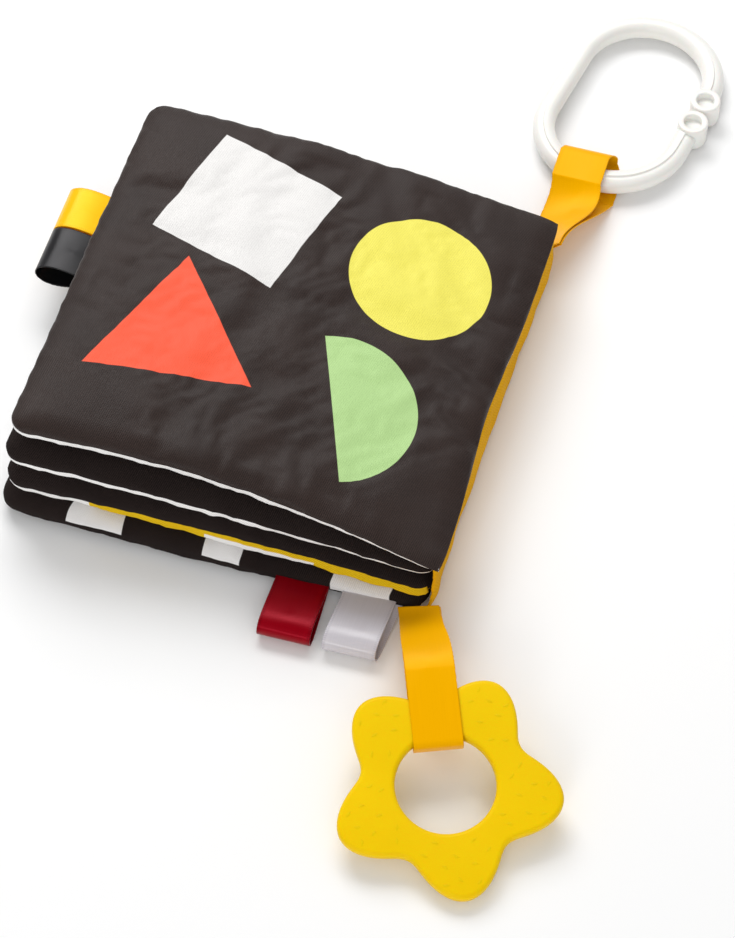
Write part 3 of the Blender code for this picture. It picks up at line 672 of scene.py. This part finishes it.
def creases(x, y):
    """The front cover's soft creases: each a shallow valley with a low ridge on one side."""
    total = np.zeros_like(x)
    for start, end, depth, width in CREASES:
        length = math.dist(start, end)
        along_x, along_y = (end[0] - start[0]) / length, (end[1] - start[1]) / length
        run = ((x - start[0]) * along_x + (y - start[1]) * along_y) / length
        off = (y - start[1]) * along_x - (x - start[0]) * along_y
        fade = np.clip(1.1 - run, 0, 1) * np.clip(4 * run + 0.6, 0, 1)
        valley = np.exp(-(off / width) ** 2) - 0.7 * np.exp(-((off - 2 * width) / width) ** 2)
        total -= depth * valley * fade
    return total


def leaf_shape(leaf):
    """Both faces of a leaf as grids of places, upper first."""
    x, y, from_edge, out_x, out_y = leaf_plan(leaf)
    from_spine = np.clip(SPINE_EDGE - x, 0, None)
    edge_along = np.where(np.abs(out_x) > np.abs(out_y), y, x)
    seam = seam_height(leaf, from_spine)
    kinks = np.abs(ripple(edge_along, leaf + 60, 0.0078)) - 0.35
    kinks = kinks + 0.25 * ripple(edge_along, leaf + 70, 0.0023)
    seam = seam + SEAM_WANDER * kinks * np.exp(-from_edge / 0.004)
    # Where leaf three's yellow page shows, more and more towards the spine
    shown = np.clip((x + 0.050) / 0.085, 0, 1) * (out_y < -0.7) if leaf == 1 else 0.0 * x
    seam = seam + PAGE_RISE * shown * np.exp(-from_edge / 0.005)
    share = np.clip(from_edge / EDGE_ROLL, 0, 1)
    fullness = np.sqrt(1 - (1 - share) ** 2)
    free = np.clip(from_spine / 0.012, 0.15, 1.0)
    faces = []
    for side in (1, -1):
        depth = half_thickness(leaf, from_spine, side) * fullness
        crease = puckers(leaf, side, x, y, from_edge)
        if leaf == TOP and side > 0:
            crease = crease * 1.25 + (0.0003 * rumple(x, y, 5, 0.034) + creases(x, y)) * share
        height = depth + np.where(depth + crease > 0, crease, 0) * free
        if leaf == 0 and side < 0:
            height = depth
        uneven = 0.8 * ripple(edge_along, leaf + 80 + side, 0.006)
        uneven = uneven + 0.4 * ripple(edge_along, leaf + 90 + side, 0.0024)
        swell = (UPPER_ROLL if side > 0 else LOWER_ROLL) * np.clip(1 + uneven, 0, 2)
        swell = swell + (PAGE_ROLL * shown if side < 0 else 0.0)
        step = from_edge / (ROLL_FROM_SEAM + (PAGE_FROM_SEAM * shown if side < 0 else 0.0))
        bulge = swell * step * np.exp(1 - step) * np.clip((from_spine - 0.001) / 0.003, 0, 1)
        faces.append(np.stack([x + out_x * bulge, y + out_y * bulge, seam + side * height], -1))
    return faces


def settle(leaf, faces):
    """Blow the leaf up as cloth, and keep only the fine wrinkles that this gives its faces."""
    step = 2
    coarse = [face[::step, ::step] for face in faces]
    side = coarse[0].shape[0]
    count = side * side
    vertices = np.concatenate([face.reshape(-1, 3) for face in coarse])
    data = bpy.data.meshes.new("wrinkle form")
    quads = grid_faces(side, side) + grid_faces(side, side, count, flip=True)
    data.from_pydata(vertices.tolist(), [], quads)
    form = bpy.data.objects.new("wrinkle form", data)
    bpy.context.scene.collection.objects.link(form)
    rim = [n for n in range(2 * count)
           if n % count // side in (0, side - 1) or n % side in (0, side - 1)]
    tight = form.vertex_groups.new(name="seam")
    tight.add(rim, 1.0, "REPLACE")
    change = form.modifiers.new("wrinkles", "CLOTH")
    rules = change.settings
    rules.quality = 6
    rules.mass = 0.15
    rules.tension_stiffness = 12
    rules.compression_stiffness = 12
    rules.shear_stiffness = 6
    rules.bending_stiffness = 0.05
    rules.use_pressure = True
    rules.uniform_pressure_force = 4.0
    rules.vertex_group_shrink = "seam"
    rules.shrink_min = -0.03
    rules.shrink_max = 0.05
    rules.effector_weights.gravity = 0.0
    change.point_cache.frame_start = 1
    change.point_cache.frame_end = SETTLE_FRAMES
    for number in range(1, SETTLE_FRAMES + 1):
        bpy.context.scene.frame_set(number)
    shown = form.evaluated_get(bpy.context.evaluated_depsgraph_get())
    moved = np.array([v.co for v in shown.data.vertices]) - vertices
    bpy.context.scene.frame_set(1)
    bpy.data.objects.remove(form, do_unlink=True)
    limit = COVER_WRINKLE_LIMIT if leaf == TOP else WRINKLE_LIMIT
    fine = np.arange(faces[0].shape[0])
    knots = fine[::step]
    for face, shift in zip(faces, (moved[:count], moved[count:])):
        rise_by = shift.reshape(side, side, 3)[:, :, 2]
        smooth = rise_by.copy()
        for _ in range(24):
            padded = np.pad(smooth, 1, mode="edge")
            smooth = (padded[:-2, 1:-1] + padded[2:, 1:-1] + padded[1:-1, :-2]
                      + padded[1:-1, 2:]) / 4
        detail = np.tanh((rise_by - smooth) * WRINKLE_SHARE / limit) * limit
        detail[0, :] = detail[-1, :] = 0
        detail[:, 0] = detail[:, -1] = 0
        across = np.array([np.interp(fine, knots, row) for row in detail])
        full = np.array([np.interp(fine, knots, column) for column in across.T]).T
        face[:, :, 2] += full


def run_along(face, axis):
    """Each vertex's distance from the first edge, measured along the cloth."""
    steps = np.linalg.norm(np.diff(face, axis=axis), axis=2)
    return np.cumsum(np.insert(steps, 0, 0, axis=axis), axis=axis)


def edge_run(face):
    """Each vertex's distance from the nearest edge, measured along the cloth."""
    runs = []
    for axis in (0, 1):
        run = run_along(face, axis)
        total = run[-1:, :] if axis == 0 else run[:, -1:]
        runs.append(np.minimum(run, total - run))
    return np.minimum(*runs)


def make_leaf(leaf):
    """A padded leaf: two faces of cloth that meet in a seam, with their places on the cloth."""
    faces = leaf_shape(leaf)
    name = LEAVES[leaf]
    side = faces[0].shape[0]
    middle = side // 2
    places = []
    for face in faces:
        across, up = (run_along(face, axis) for axis in (1, 0))
        across += (face[:, middle, 0] - across[:, middle])[:, None]
        up += (face[middle, :, 1] - up[middle, :])[None, :]
        places.append(np.stack([across, up], -1).reshape(-1, 2))
    hem = np.tile(edge_run(faces[0]).ravel(), 2)
    settle(leaf, faces)
    if leaf == 0:
        faces[1][:, :, 2] = np.clip(faces[1][:, :, 2], 0.0, None)
    upper, lower, finishes = {
        "back_cover": ("inner", "outer", (PATCHED_TWILL, BLACK_TWILL)),
        "leaf_three": ("upper", "lower", (BLACK_TWILL, YELLOW_TWILL)),
        "leaf_two": ("upper", "lower", (BLACK_TWILL, WHITE_TWILL)),
        "front_cover": ("outer", "inner", (COVER_TWILL, WHITE_TWILL)),
    }[name]
    vertices = np.concatenate([face.reshape(-1, 3) for face in faces])
    quads = grid_faces(side, side) + grid_faces(side, side, side * side, flip=True)
    kinds = [0] * (len(quads) // 2) + [1] * (len(quads) // 2)
    pillow = new_piece(f"{name}_pillow", vertices, quads, finishes, np.concatenate(places),
                       kinds, hem)
    stand_in(pillow, name, "black_cloth", f"{name}_{upper}_cloth", f"{name}_{lower}_cloth",
             f"{name}_wadding")


# ---------------------------------------------------------------- the spine's cloth

def spine_sheet(name, low, high):
    """A stretch of the spine's cloth between two heights, wavy and drawn in at its ends."""
    heights = np.linspace(low, high, 12)
    shares = np.linspace(0, 1, 160)
    face, tuck = np.array(SPINE_FACE), np.array(SPINE_TUCK)
    points, places = [], []
    for height in heights:
        tucked = np.interp(height, tuck[:, 0], tuck[:, 1])
        frayed = noise.noise(Vector((height / 0.0011, 2.7, 6.0))) * 0.0004
        lowest, highest = -0.0674 + 0.14 * height + frayed, 0.0626 - frayed
        for y in lowest + (highest - lowest) * shares:
            wave = noise.noise(Vector((y / 0.012, height / 0.012, 4.2))) * 0.0006
            wave += noise.noise(Vector((y / 0.004, height / 0.006, 8.1))) * 0.0002
            end = max(0.0, abs(y + 0.0012) - 0.0610) / 0.0040
            x = np.interp(y, face[:, 0], face[:, 1]) - tucked + wave - 0.0010 * end ** 2
            points.append((x, y, height + 0.0003))
            places.append((y, height))
    faces = grid_faces(len(shares), len(heights))
    sheet = new_piece(name, points, faces, [SPINE_TWILL], places)
    thick = sheet.modifiers.new("thickness", "SOLIDIFY")
    thick.thickness = SPINE_CLOTH_THICKNESS
    thick.offset = -1
    choose([sheet])
    bpy.ops.object.modifier_apply(modifier=thick.name)
    return sheet


def make_spine():
    """The spine's cloth in three stretches, each bent across one of the folds between leaves."""
    for number, fold in enumerate(SPINE_FOLDS):
        lower, upper = LEAVES[number], LEAVES[number + 1]
        sheet = spine_sheet(f"spine_cloth_{number + 1}", *SPINE_MARKS[number:number + 2])
        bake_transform(sheet)
        bands = [upper, lower] if number == 0 else [upper]
        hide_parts(*(f"{leaf}_spine_cloth" for leaf in bands))


# ---------------------------------------------------------------- satin ribbons

def ribbon(name, stations, width, finish):
    """A satin ribbon and its length, through stations of centre, direction across and direction
    through it. Its edges have small loops of thread."""
    columns = (-0.5, -0.485, -0.45, -0.3, -0.1, 0.1, 0.3, 0.45, 0.485, 0.5)
    points, places = [], []
    along = 0.0
    last = stations[0][0]
    rows = len(stations)
    for centre, across, through in stations:
        along += (centre - last).length
        last = centre
        picot = PICOT_REACH * math.cos(2 * math.pi * along / PICOT_PITCH)
        for column in columns:
            reach = column * width + (math.copysign(picot, column) if abs(column) == 0.5 else 0.0)
            points.append(centre + across * reach + through * SATIN_THICKNESS / 2)
            places.append((column * width, along))
    for centre, across, through in stations:
        for column in columns:
            points.append(centre + across * column * width - through * SATIN_THICKNESS / 2)
    places = places + places
    size = len(columns)
    count = rows * size
    faces = grid_faces(size, rows) + grid_faces(size, rows, count, flip=True)
    for row in range(rows - 1):
        for column in (0, size - 1):
            a = row * size + column
            face = (a, a + size, a + size + count, a + count)
            faces.append(face if column == 0 else face[::-1])
    for row in (0, rows - 1):
        for column in range(size - 1):
            a = row * size + column
            face = (a, a + 1, a + 1 + count, a + count)
            faces.append(face if row == 0 else face[::-1])
    strip = new_piece(name, points, faces, [finish], places)
    form = bmesh.new()
    form.from_mesh(strip.data)
    bmesh.ops.recalc_face_normals(form, faces=form.faces)
    form.to_mesh(strip.data)
    form.free()
    return strip, along


def edge_point(leaf, side, along):
    """A point on a leaf's seam, at a height up the free side or a place across the lower or
    upper side."""
    x, y = leaf_plan(leaf)[:2]
    if side == "free":
        line = np.stack([x[:, 0], y[:, 0]], 1)
    else:
        row = 0 if side == "lower" else -1
        line = np.stack([y[row, :], x[row, :]], 1)
    other = float(np.interp(along, line[:, 1], line[:, 0]))
    place = (other, along) if side == "free" else (along, other)
    return Vector((*place, float(seam_height(leaf, max(SPINE_EDGE - place[0], 0.0)))))


def make_tag(colour, leaf, side, middle, height, blunt, lean, askew, further):
    """A folded ribbon tag, a drop-shaped loop whose two ends are sewn into a leaf's seam."""
    before = edge_point(leaf, side, middle - RIBBON_WIDTH / 2)
    after = edge_point(leaf, side, middle + RIBBON_WIDTH / 2)
    along = (after - before).normalized()
    outward = Vector((-1, 0, 0)) if side == "free" else Vector((0, -1, 0))
    outward = (outward - along * outward.dot(along)).normalized()
    up = outward.cross(along)
    if up.z < 0:
        up = -up
    root = (before + after) / 2 - outward * 0.0008
    # A ply's height is u * sqrt(1 - u ** blunt), which opens like a wedge and ends in a round fold
    widest = (2 / (2 + blunt)) ** (1 / blunt)
    rise_to = (height - RIBBON_THICKNESS) / 2 / (widest * math.sqrt(blunt / (2 + blunt)))

    def place(turn):
        away = (1 - math.cos(turn)) / 2
        out = (TAG_REACH + HINGE_ROOM + further) * away
        seat = PLY_OFFSET * math.cos(turn / 2)
        rise_by = rise_to * away * math.sqrt(max(1 - away ** blunt, 0.0))
        rise_by = math.copysign(rise_by, math.pi - turn)
        sideways = lean * away + askew * turn / (2 * math.pi)
        return root + outward * out + along * sideways + up * (seat + rise_by)

    stations = []
    for step in range(TAG_STATIONS + 1):
        turn = 2 * math.pi * step / TAG_STATIONS
        ahead = place(min(turn + 0.02, 2 * math.pi)) - place(max(turn - 0.02, 0.0))
        stations.append((place(turn), along, along.cross(ahead).normalized()))
    tag, length = ribbon(f"{colour}_satin_tag", stations, RIBBON_WIDTH, SATINS[colour])
    stand_in(tag, LEAVES[leaf], f"{colour}_satin", f"{colour}_tag")


def hermite(start, start_slope, end, end_slope, share):
    """A smooth curve between two points with given slopes."""
    square = share * share
    cube = square * share
    return (start * (2 * cube - 3 * square + 1) + start_slope * (cube - 2 * square + share)
            + end * (3 * square - 2 * cube) + end_slope * (cube - square))


def loop_stations(seam, place, flat_start, bend_reach, bend_radius, ply_height, slant, parting):
    """Stations of a ribbon folded double, from its seam round a bar and back.

    It runs level from flat_start before the place's centre to its bend, with each ply ply_height
    from the middle. slant is how far the plies lie apart sideways, and parting the power by which
    they open.
    """
    seam_centre, seam_across = seam
    centre, away, across, up = place
    entry = centre - away * flat_start
    span = (entry - seam_centre).length
    level = Vector((away.x, away.y, 0)).normalized()
    upper, lower = [], []
    for share in (step / CLIMB_STATIONS for step in range(CLIMB_STATIONS)):
        ease = share * share * (3 - 2 * share)
        late = share ** parting
        middle = hermite(seam_centre, level * span, entry, away * span, share)
        ahead = hermite(seam_centre, level * span, entry, away * span, share + 1 / CLIMB_STATIONS)
        wide = seam_across.normalized().lerp(across, ease).normalized()
        normal = (ahead - middle).cross(wide).normalized()
        if normal.z < 0:
            normal = -normal
        half_gap = PLY_OFFSET + (ply_height - PLY_OFFSET) * late
        side_step = across * slant / 2 * late
        upper.append((middle + normal * half_gap - side_step, wide, normal))
        lower.append((middle - normal * half_gap + side_step, wide, -normal))
    corner = bend_reach - bend_radius
    turn_height = ply_height - bend_radius
    bend = []
    for sign in (1, -1):
        for quarter in (step / (BEND_STATIONS - 1) for step in range(BEND_STATIONS)):
            angle = math.radians(90) * (quarter if sign > 0 else 1 + quarter)
            through = up * math.cos(angle) + away * math.sin(angle)
            middle = centre + away * corner + up * turn_height * sign + through * bend_radius
            side_step = across * slant / 2 * (2 * angle / math.pi - 1)
            bend.append((middle + side_step, across, through))
    flat = []
    for sign, row in ((1, []), (-1, [])):
        for share in np.linspace(0, 1, LEVEL_STATIONS + 1)[:-1]:
            middle = entry.lerp(centre + away * corner, share) + up * ply_height * sign
            row.append((middle - across * slant / 2 * sign, across, up * sign))
        flat.append(row)
    return [*upper, *flat[0], *bend, *reversed(flat[1]), *reversed(lower)]


def ribbon_seam(side, start, past_spine, seam_rise):
    """The middle and the run of the slanting seam that sews a holding ribbon to the back cover."""
    inner = edge_point(0, side, start)
    outward = Vector((0, 1, 0)) if side == "upper" else Vector((0, -1, 0))
    inner += outward * (PLY_GAP + RIBBON_THICKNESS + PLY_GAP)
    outer = Vector((SPINE_X + past_spine, inner.y, inner.z + seam_rise))
    return (inner + outer) / 2, outer - inner


# ---------------------------------------------------------------- the teether

def model_crescent():
    """One small raised crescent, 1.9 mm long and 0.11 mm high: thick in the middle, thin at its
    two ends and bowed."""
    crescent = begin(bpy.ops.mesh.primitive_grid_add, x_subdivisions=2, y_subdivisions=6,
                     size=0.0019, location=(0, 0, -0.00005))
    bpy.ops.mesh.select_all(action="SELECT")
    bpy.ops.transform.resize(value=(0.40, 1, 1), center_override=(0, 0, 0))
    bpy.ops.mesh.extrude_region_move(TRANSFORM_OT_translate={"value": (0, 0, 0.00005)})
    pick(crescent, lambda spot: (abs(spot.x) < 0.00005 and abs(spot.y) < 0.0008
                                 and spot.z > -SLACK))
    bpy.ops.transform.translate(value=(0, 0, 0.00011))
    pick(crescent, lambda spot: abs(spot.y) > 0.0009)
    bpy.ops.transform.resize(value=(0.1, 1, 1), center_override=(0, 0, 0),
                             use_proportional_edit=True, proportional_edit_falloff="SMOOTH",
                             proportional_size=0.0008)
    pick(crescent, lambda spot: abs(spot.y) < 0.00005)
    bpy.ops.transform.translate(value=(0.00045, 0, 0), use_proportional_edit=True,
                                proportional_edit_falloff="SPHERE", proportional_size=0.0012)
    return end(crescent, "crescent")


def make_flower(centre, away, across, up):
    """The teether: a ring of five round petals with soft edges, and small raised crescents on
    both faces."""
    half = FLOWER_THICKNESS / 2
    flower = begin(bpy.ops.mesh.primitive_circle_add, vertices=220, radius=FLOWER_HOLE_RADIUS,
                   fill_type="NOTHING", location=(0, 0, -half), rotation=(0, 0, FLOWER_TURN))
    bpy.ops.mesh.select_all(action="SELECT")
    bpy.ops.mesh.extrude_edges_move()
    before_petals = FLOWER_NOTCH_RADIUS - PETAL_OVERLAP
    wider = before_petals / FLOWER_HOLE_RADIUS
    bpy.ops.transform.resize(value=(wider, wider, 1), center_override=(0, 0, 0))
    bpy.ops.mesh.hide(unselected=True)
    # Each petal is drawn out of the rim, and the rim beside it follows as far as the notches
    longer = FLOWER_TIP_RADIUS / before_petals
    to_notch = 2 * before_petals * math.sin(math.pi / FLOWER_PETALS / 2)
    petals = [2 * math.pi * petal / FLOWER_PETALS + FLOWER_TURN for petal in range(FLOWER_PETALS)]
    for angle in petals:
        tip = Vector((math.cos(angle), math.sin(angle))) * before_petals
        pick(flower, lambda spot: (spot.xy - tip).length < 0.0002)
        bpy.ops.transform.resize(value=(longer, longer, 1), center_override=(0, 0, 0),
                                 use_proportional_edit=True, proportional_edit_falloff="SMOOTH",
                                 proportional_size=to_notch * PETAL_SPREAD)
    # The notches between the petals are pressed out to soft curves
    for angle in petals:
        angle += math.pi / FLOWER_PETALS
        notch = Vector((math.cos(angle), math.sin(angle)))
        pick(flower, lambda spot: (spot.xy.normalized() - notch).length < 0.008)
        bpy.ops.transform.resize(value=(NOTCH_PRESS, NOTCH_PRESS, 1), center_override=(0, 0, 0),
                                 use_proportional_edit=True, proportional_edit_falloff="SMOOTH",
                                 proportional_size=NOTCH_SOFTNESS)
    bpy.ops.mesh.reveal(select=False)
    bpy.ops.mesh.select_all(action="SELECT")
    bpy.ops.mesh.extrude_region_move(TRANSFORM_OT_translate={"value": (0, 0, FLOWER_THICKNESS)})
    soften_edges(FLOWER_EDGE_RADIUS, 6, clamped=False)
    end(flower, "flower_teether_rubber")
    crescent = model_crescent()
    crescents = []
    for petal, angle in enumerate(petals):
        for radius, degrees in CRESCENT_SPOTS:
            bearing = angle + math.radians(degrees)
            spot = Vector((radius * math.cos(bearing), radius * math.sin(bearing), half))
            turn = Matrix.Rotation(bearing + petal * 2.1 + radius * 900, 4, "Z")
            for face in (1, -1):
                place = Matrix.Scale(face, 4, (0, 0, 1)) @ Matrix.Translation(spot) @ turn
                crescents.append(copy_of(crescent, place, face < 0))
    bpy.data.objects.remove(crescent)
    choose([flower, *crescents])
    bpy.ops.object.join()
    place = Matrix((away, across, up)).transposed().to_4x4()
    settle_in(flower, Matrix.Translation(centre) @ place, SILICONE)
    stand_in(flower, "flower_teether", "silicone", "flower_teether")


# ---------------------------------------------------------------- the link ring

def model_bar(start, near, far, stop):
    """The ring's bar: rounded, its outer half a step lower, and bent round both ends."""
    half_width = RING_BAR_WIDTH / 2
    step_start, step_end = 0.0001, 0.0004
    bar = begin(bpy.ops.mesh.primitive_plane_add, size=1, rotation=(math.pi / 2, 0, 0))
    bpy.ops.mesh.select_all(action="SELECT")
    bpy.ops.transform.resize(value=(half_width + step_start, 1, RING_BAR_HEIGHT),
                             center_override=(0, 0, 0))
    bpy.ops.transform.translate(
        value=(RING_BEND_RADIUS - (half_width - step_start) / 2, start, 0))
    reach = RING_BEND_RADIUS + step_start
    for more, drop in ((step_end - step_start, RING_LEDGE_DEPTH), (half_width - step_end, 0)):
        pick(bar, lambda spot: spot.x > reach - SLACK, "EDGE")
        bpy.ops.mesh.extrude_edges_move(TRANSFORM_OT_translate={"value": (more, 0, 0)})
        reach += more
        pick(bar, lambda spot: spot.x > reach - SLACK and spot.z > 0)
        bpy.ops.transform.translate(value=(0, 0, -drop))
    pick(bar, lambda spot: abs(spot.x - RING_BEND_RADIUS) > half_width - SLACK)
    bpy.ops.mesh.bevel(offset=RING_BAR_ROUNDING, segments=7, affect="VERTICES",
                       clamp_overlap=False)
    bpy.ops.mesh.select_mode(type="FACE")
    bpy.ops.mesh.select_all(action="SELECT")
    bpy.ops.mesh.extrude_region_move(TRANSFORM_OT_translate={"value": (0, far - start, 0)})
    bpy.ops.mesh.spin(steps=48, angle=math.pi, center=(0, far, 0), axis=(0, 0, -1))
    bpy.ops.mesh.extrude_region_move(TRANSFORM_OT_translate={"value": (0, near - far, 0)})
    bpy.ops.mesh.spin(steps=48, angle=math.pi, center=(0, near, 0), axis=(0, 0, -1))
    bpy.ops.mesh.extrude_region_move(TRANSFORM_OT_translate={"value": (0, stop - near, 0)})
    return end(bar, "link_ring_plastic")


def model_boss():
    """A round boss with a cupped top, its rims soft."""
    boss = begin(bpy.ops.mesh.primitive_cylinder_add, vertices=56, radius=BOSS_RADIUS,
                 depth=BOSS_HEIGHT)
    pick(boss, lambda spot: spot.z > 0, "FACE")
    bpy.ops.mesh.inset(thickness=BOSS_RADIUS - BOSS_RECESS_RADIUS)
    bpy.ops.mesh.extrude_region_move(TRANSFORM_OT_translate={"value": (0, 0, -BOSS_RECESS_DEPTH)})
    soften_edges(BOSS_RIM_ROUNDING, 3)
    return end(boss, "boss")


def make_ring(centre, slope):
    """The link ring: the bar bent to a C, with a cupped boss at each end."""
    middle_y = RING_BEND_RADIUS + RING_STRAIGHT / 2 + BOSSES_PAST_MIDDLE
    into_boss = BOSS_SPREAD + BAR_IN_BOSS
    ring = model_bar(middle_y + into_boss, RING_BEND_RADIUS, RING_BEND_RADIUS + RING_STRAIGHT,
                     middle_y - into_boss)
    boss = model_boss()
    spots = [(RING_BEND_RADIUS + BOSS_OUTSET, middle_y + shift, 0)
             for shift in (BOSS_SPREAD, -BOSS_SPREAD)]
    bosses = [copy_of(boss, Matrix.Translation(spot)) for spot in spots]
    bpy.data.objects.remove(boss)
    choose([ring, *bosses])
    bpy.ops.object.join()
    turn = Matrix.Rotation(RING_TURN, 4, "Z") @ Matrix.Rotation(-math.asin(slope), 4, "X")
    settle_in(ring, Matrix.Translation(centre) @ turn, RING_PLASTIC)
    stand_in(ring, "link_ring", "ring_plastic", "link_ring")


# ---------------------------------------------------------------- the camera, light and floor

def make_stage():
    """A pale floor, soft studio light and the camera, whose place and turn were solved from the
    front cover's corners."""
    floor = begin(bpy.ops.mesh.primitive_plane_add, size=12, location=(0, 0, -0.0002))
    bpy.ops.mesh.select_all(action="SELECT")
    bpy.ops.mesh.extrude_region_move(TRANSFORM_OT_translate={"value": (0, 0, -0.02)})
    end(floor, "floor")
    floor.data.materials.append(PAPER)
    world = bpy.data.worlds.new("studio")
    world.use_nodes = True
    sky = world.node_tree.nodes["Background"]
    sky.inputs[0].default_value = (1.0, 1.0, 1.0, 1.0)
    sky.inputs[1].default_value = 0.46
    bpy.context.scene.world = world
    # Each light's place, its power in watts and its width
    for name, spot, energy, width in (("key light", (-0.40, 0.58, 0.76), 6.3, 0.55),
                                      ("back light", (0.02, 0.56, 0.84), 1.8, 0.40),
                                      ("fill light", (0.4, -1.15, 1.1), 4.4, 1.4),
                                      ("front light", (0.05, -1.2, 0.5), 3.5, 0.4)):
        light = bpy.data.lights.new(name, "AREA")
        light.energy = energy
        light.size = width
        lamp = bpy.data.objects.new(name, light)
        lamp.location = spot
        lamp.rotation_euler = (-Vector(spot)).to_track_quat("-Z", "Y").to_euler()
        bpy.context.scene.collection.objects.link(lamp)
    lens = bpy.data.cameras.new("camera")
    lens.sensor_width = 36.0
    lens.lens = 115.234
    lens.clip_start = 0.01
    camera = bpy.data.objects.new("camera", lens)
    right = Vector((0.957133, 0.289515, -0.008870))
    upward = Vector((-0.234114, 0.791284, 0.564854))
    back = Vector((0.170552, -0.538564, 0.825143))
    pose = Matrix((right, upward, back)).transposed().to_4x4()
    pose.translation = Vector((0.182395, -0.501676, 0.731813))
    camera.matrix_world = pose
    bpy.context.scene.collection.objects.link(camera)
    bpy.context.scene.camera = camera
    bpy.context.scene.view_settings.view_transform = "Standard"


# ---------------------------------------------------------------- the whole book

def make_teether():
    """The teether in its ribbon's bend."""
    seam = ribbon_seam("lower", *TEETHER_SEAM)
    heading = Vector((math.cos(TEETHER_HEADING), math.sin(TEETHER_HEADING), 0))
    across = Vector((-heading.y, heading.x, 0))
    away = heading * math.cos(FLOWER_TILT) - Vector((0, 0, math.sin(FLOWER_TILT)))
    up = away.cross(across)
    centre = Vector((seam[0].x, seam[0].y, FLOWER_HEIGHT)) + heading * TEETHER_REACH
    make_flower(centre + across * FLOWER_OFF_MIDDLE, away, across, up)
    ply_room = PLY_GAP + RIBBON_THICKNESS / 2
    hole_chord = math.sqrt(FLOWER_HOLE_RADIUS ** 2 - (TEETHER_RIBBON_WIDTH / 2) ** 2)
    stations = loop_stations(
        seam, (centre, away, across, up), flat_start=FLOWER_TIP_RADIUS + ply_room,
        bend_reach=ply_room + 0.0010 - hole_chord, bend_radius=0.0016,
        ply_height=FLOWER_THICKNESS / 2 + ply_room, slant=0.0, parting=2.6)
    strip, length = ribbon("teether_satin_ribbon", stations, TEETHER_RIBBON_WIDTH,
                           SATINS["holding"])
    stand_in(strip, "teether_ribbon", "yellow_satin", "teether_ribbon")


def make_link():
    """The link ring with its bar in its ribbon's bend."""
    seam = ribbon_seam("upper", *LINK_SEAM)
    heading = Vector((math.cos(LINK_HEADING), math.sin(LINK_HEADING), 0))
    bar_reach = RING_BAR_ROUNDING + math.hypot(RING_BAR_WIDTH / 2 - RING_BAR_ROUNDING,
                                               RING_BAR_HEIGHT / 2 - RING_BAR_ROUNDING)
    height = PLY_GAP + RIBBON_THICKNESS + PLY_GAP + bar_reach
    bar = Vector((seam[0].x, seam[0].y, height)) + heading * LINK_REACH
    off_bar = Vector((0.0008, 0, 0.0002))
    stations = loop_stations(
        seam, (bar + off_bar, Vector((0, 1, 0)), Vector((1, 0, 0)), Vector((0, 0, 1))),
        flat_start=0.0056, bend_reach=0.0085, bend_radius=0.0032,
        ply_height=bar_reach + off_bar.z + PLY_GAP + RIBBON_THICKNESS / 2, slant=0.0044,
        parting=4.5)
    strip, length = ribbon("ring_satin_ribbon", stations, RIBBON_WIDTH, SATINS["holding"])
    stand_in(strip, "ring_ribbon", "yellow_satin", "ring_ribbon")
    slope = (height - BOSS_HEIGHT / 2 - PLY_GAP) / (RING_STRAIGHT + 2 * RING_BEND_RADIUS)
    make_ring(bar, slope)


make_stage()
for number in range(len(LEAVES)):
    make_leaf(number)
make_spine()
for tag in TAGS:
    make_tag(*tag)
make_teether()
make_link()
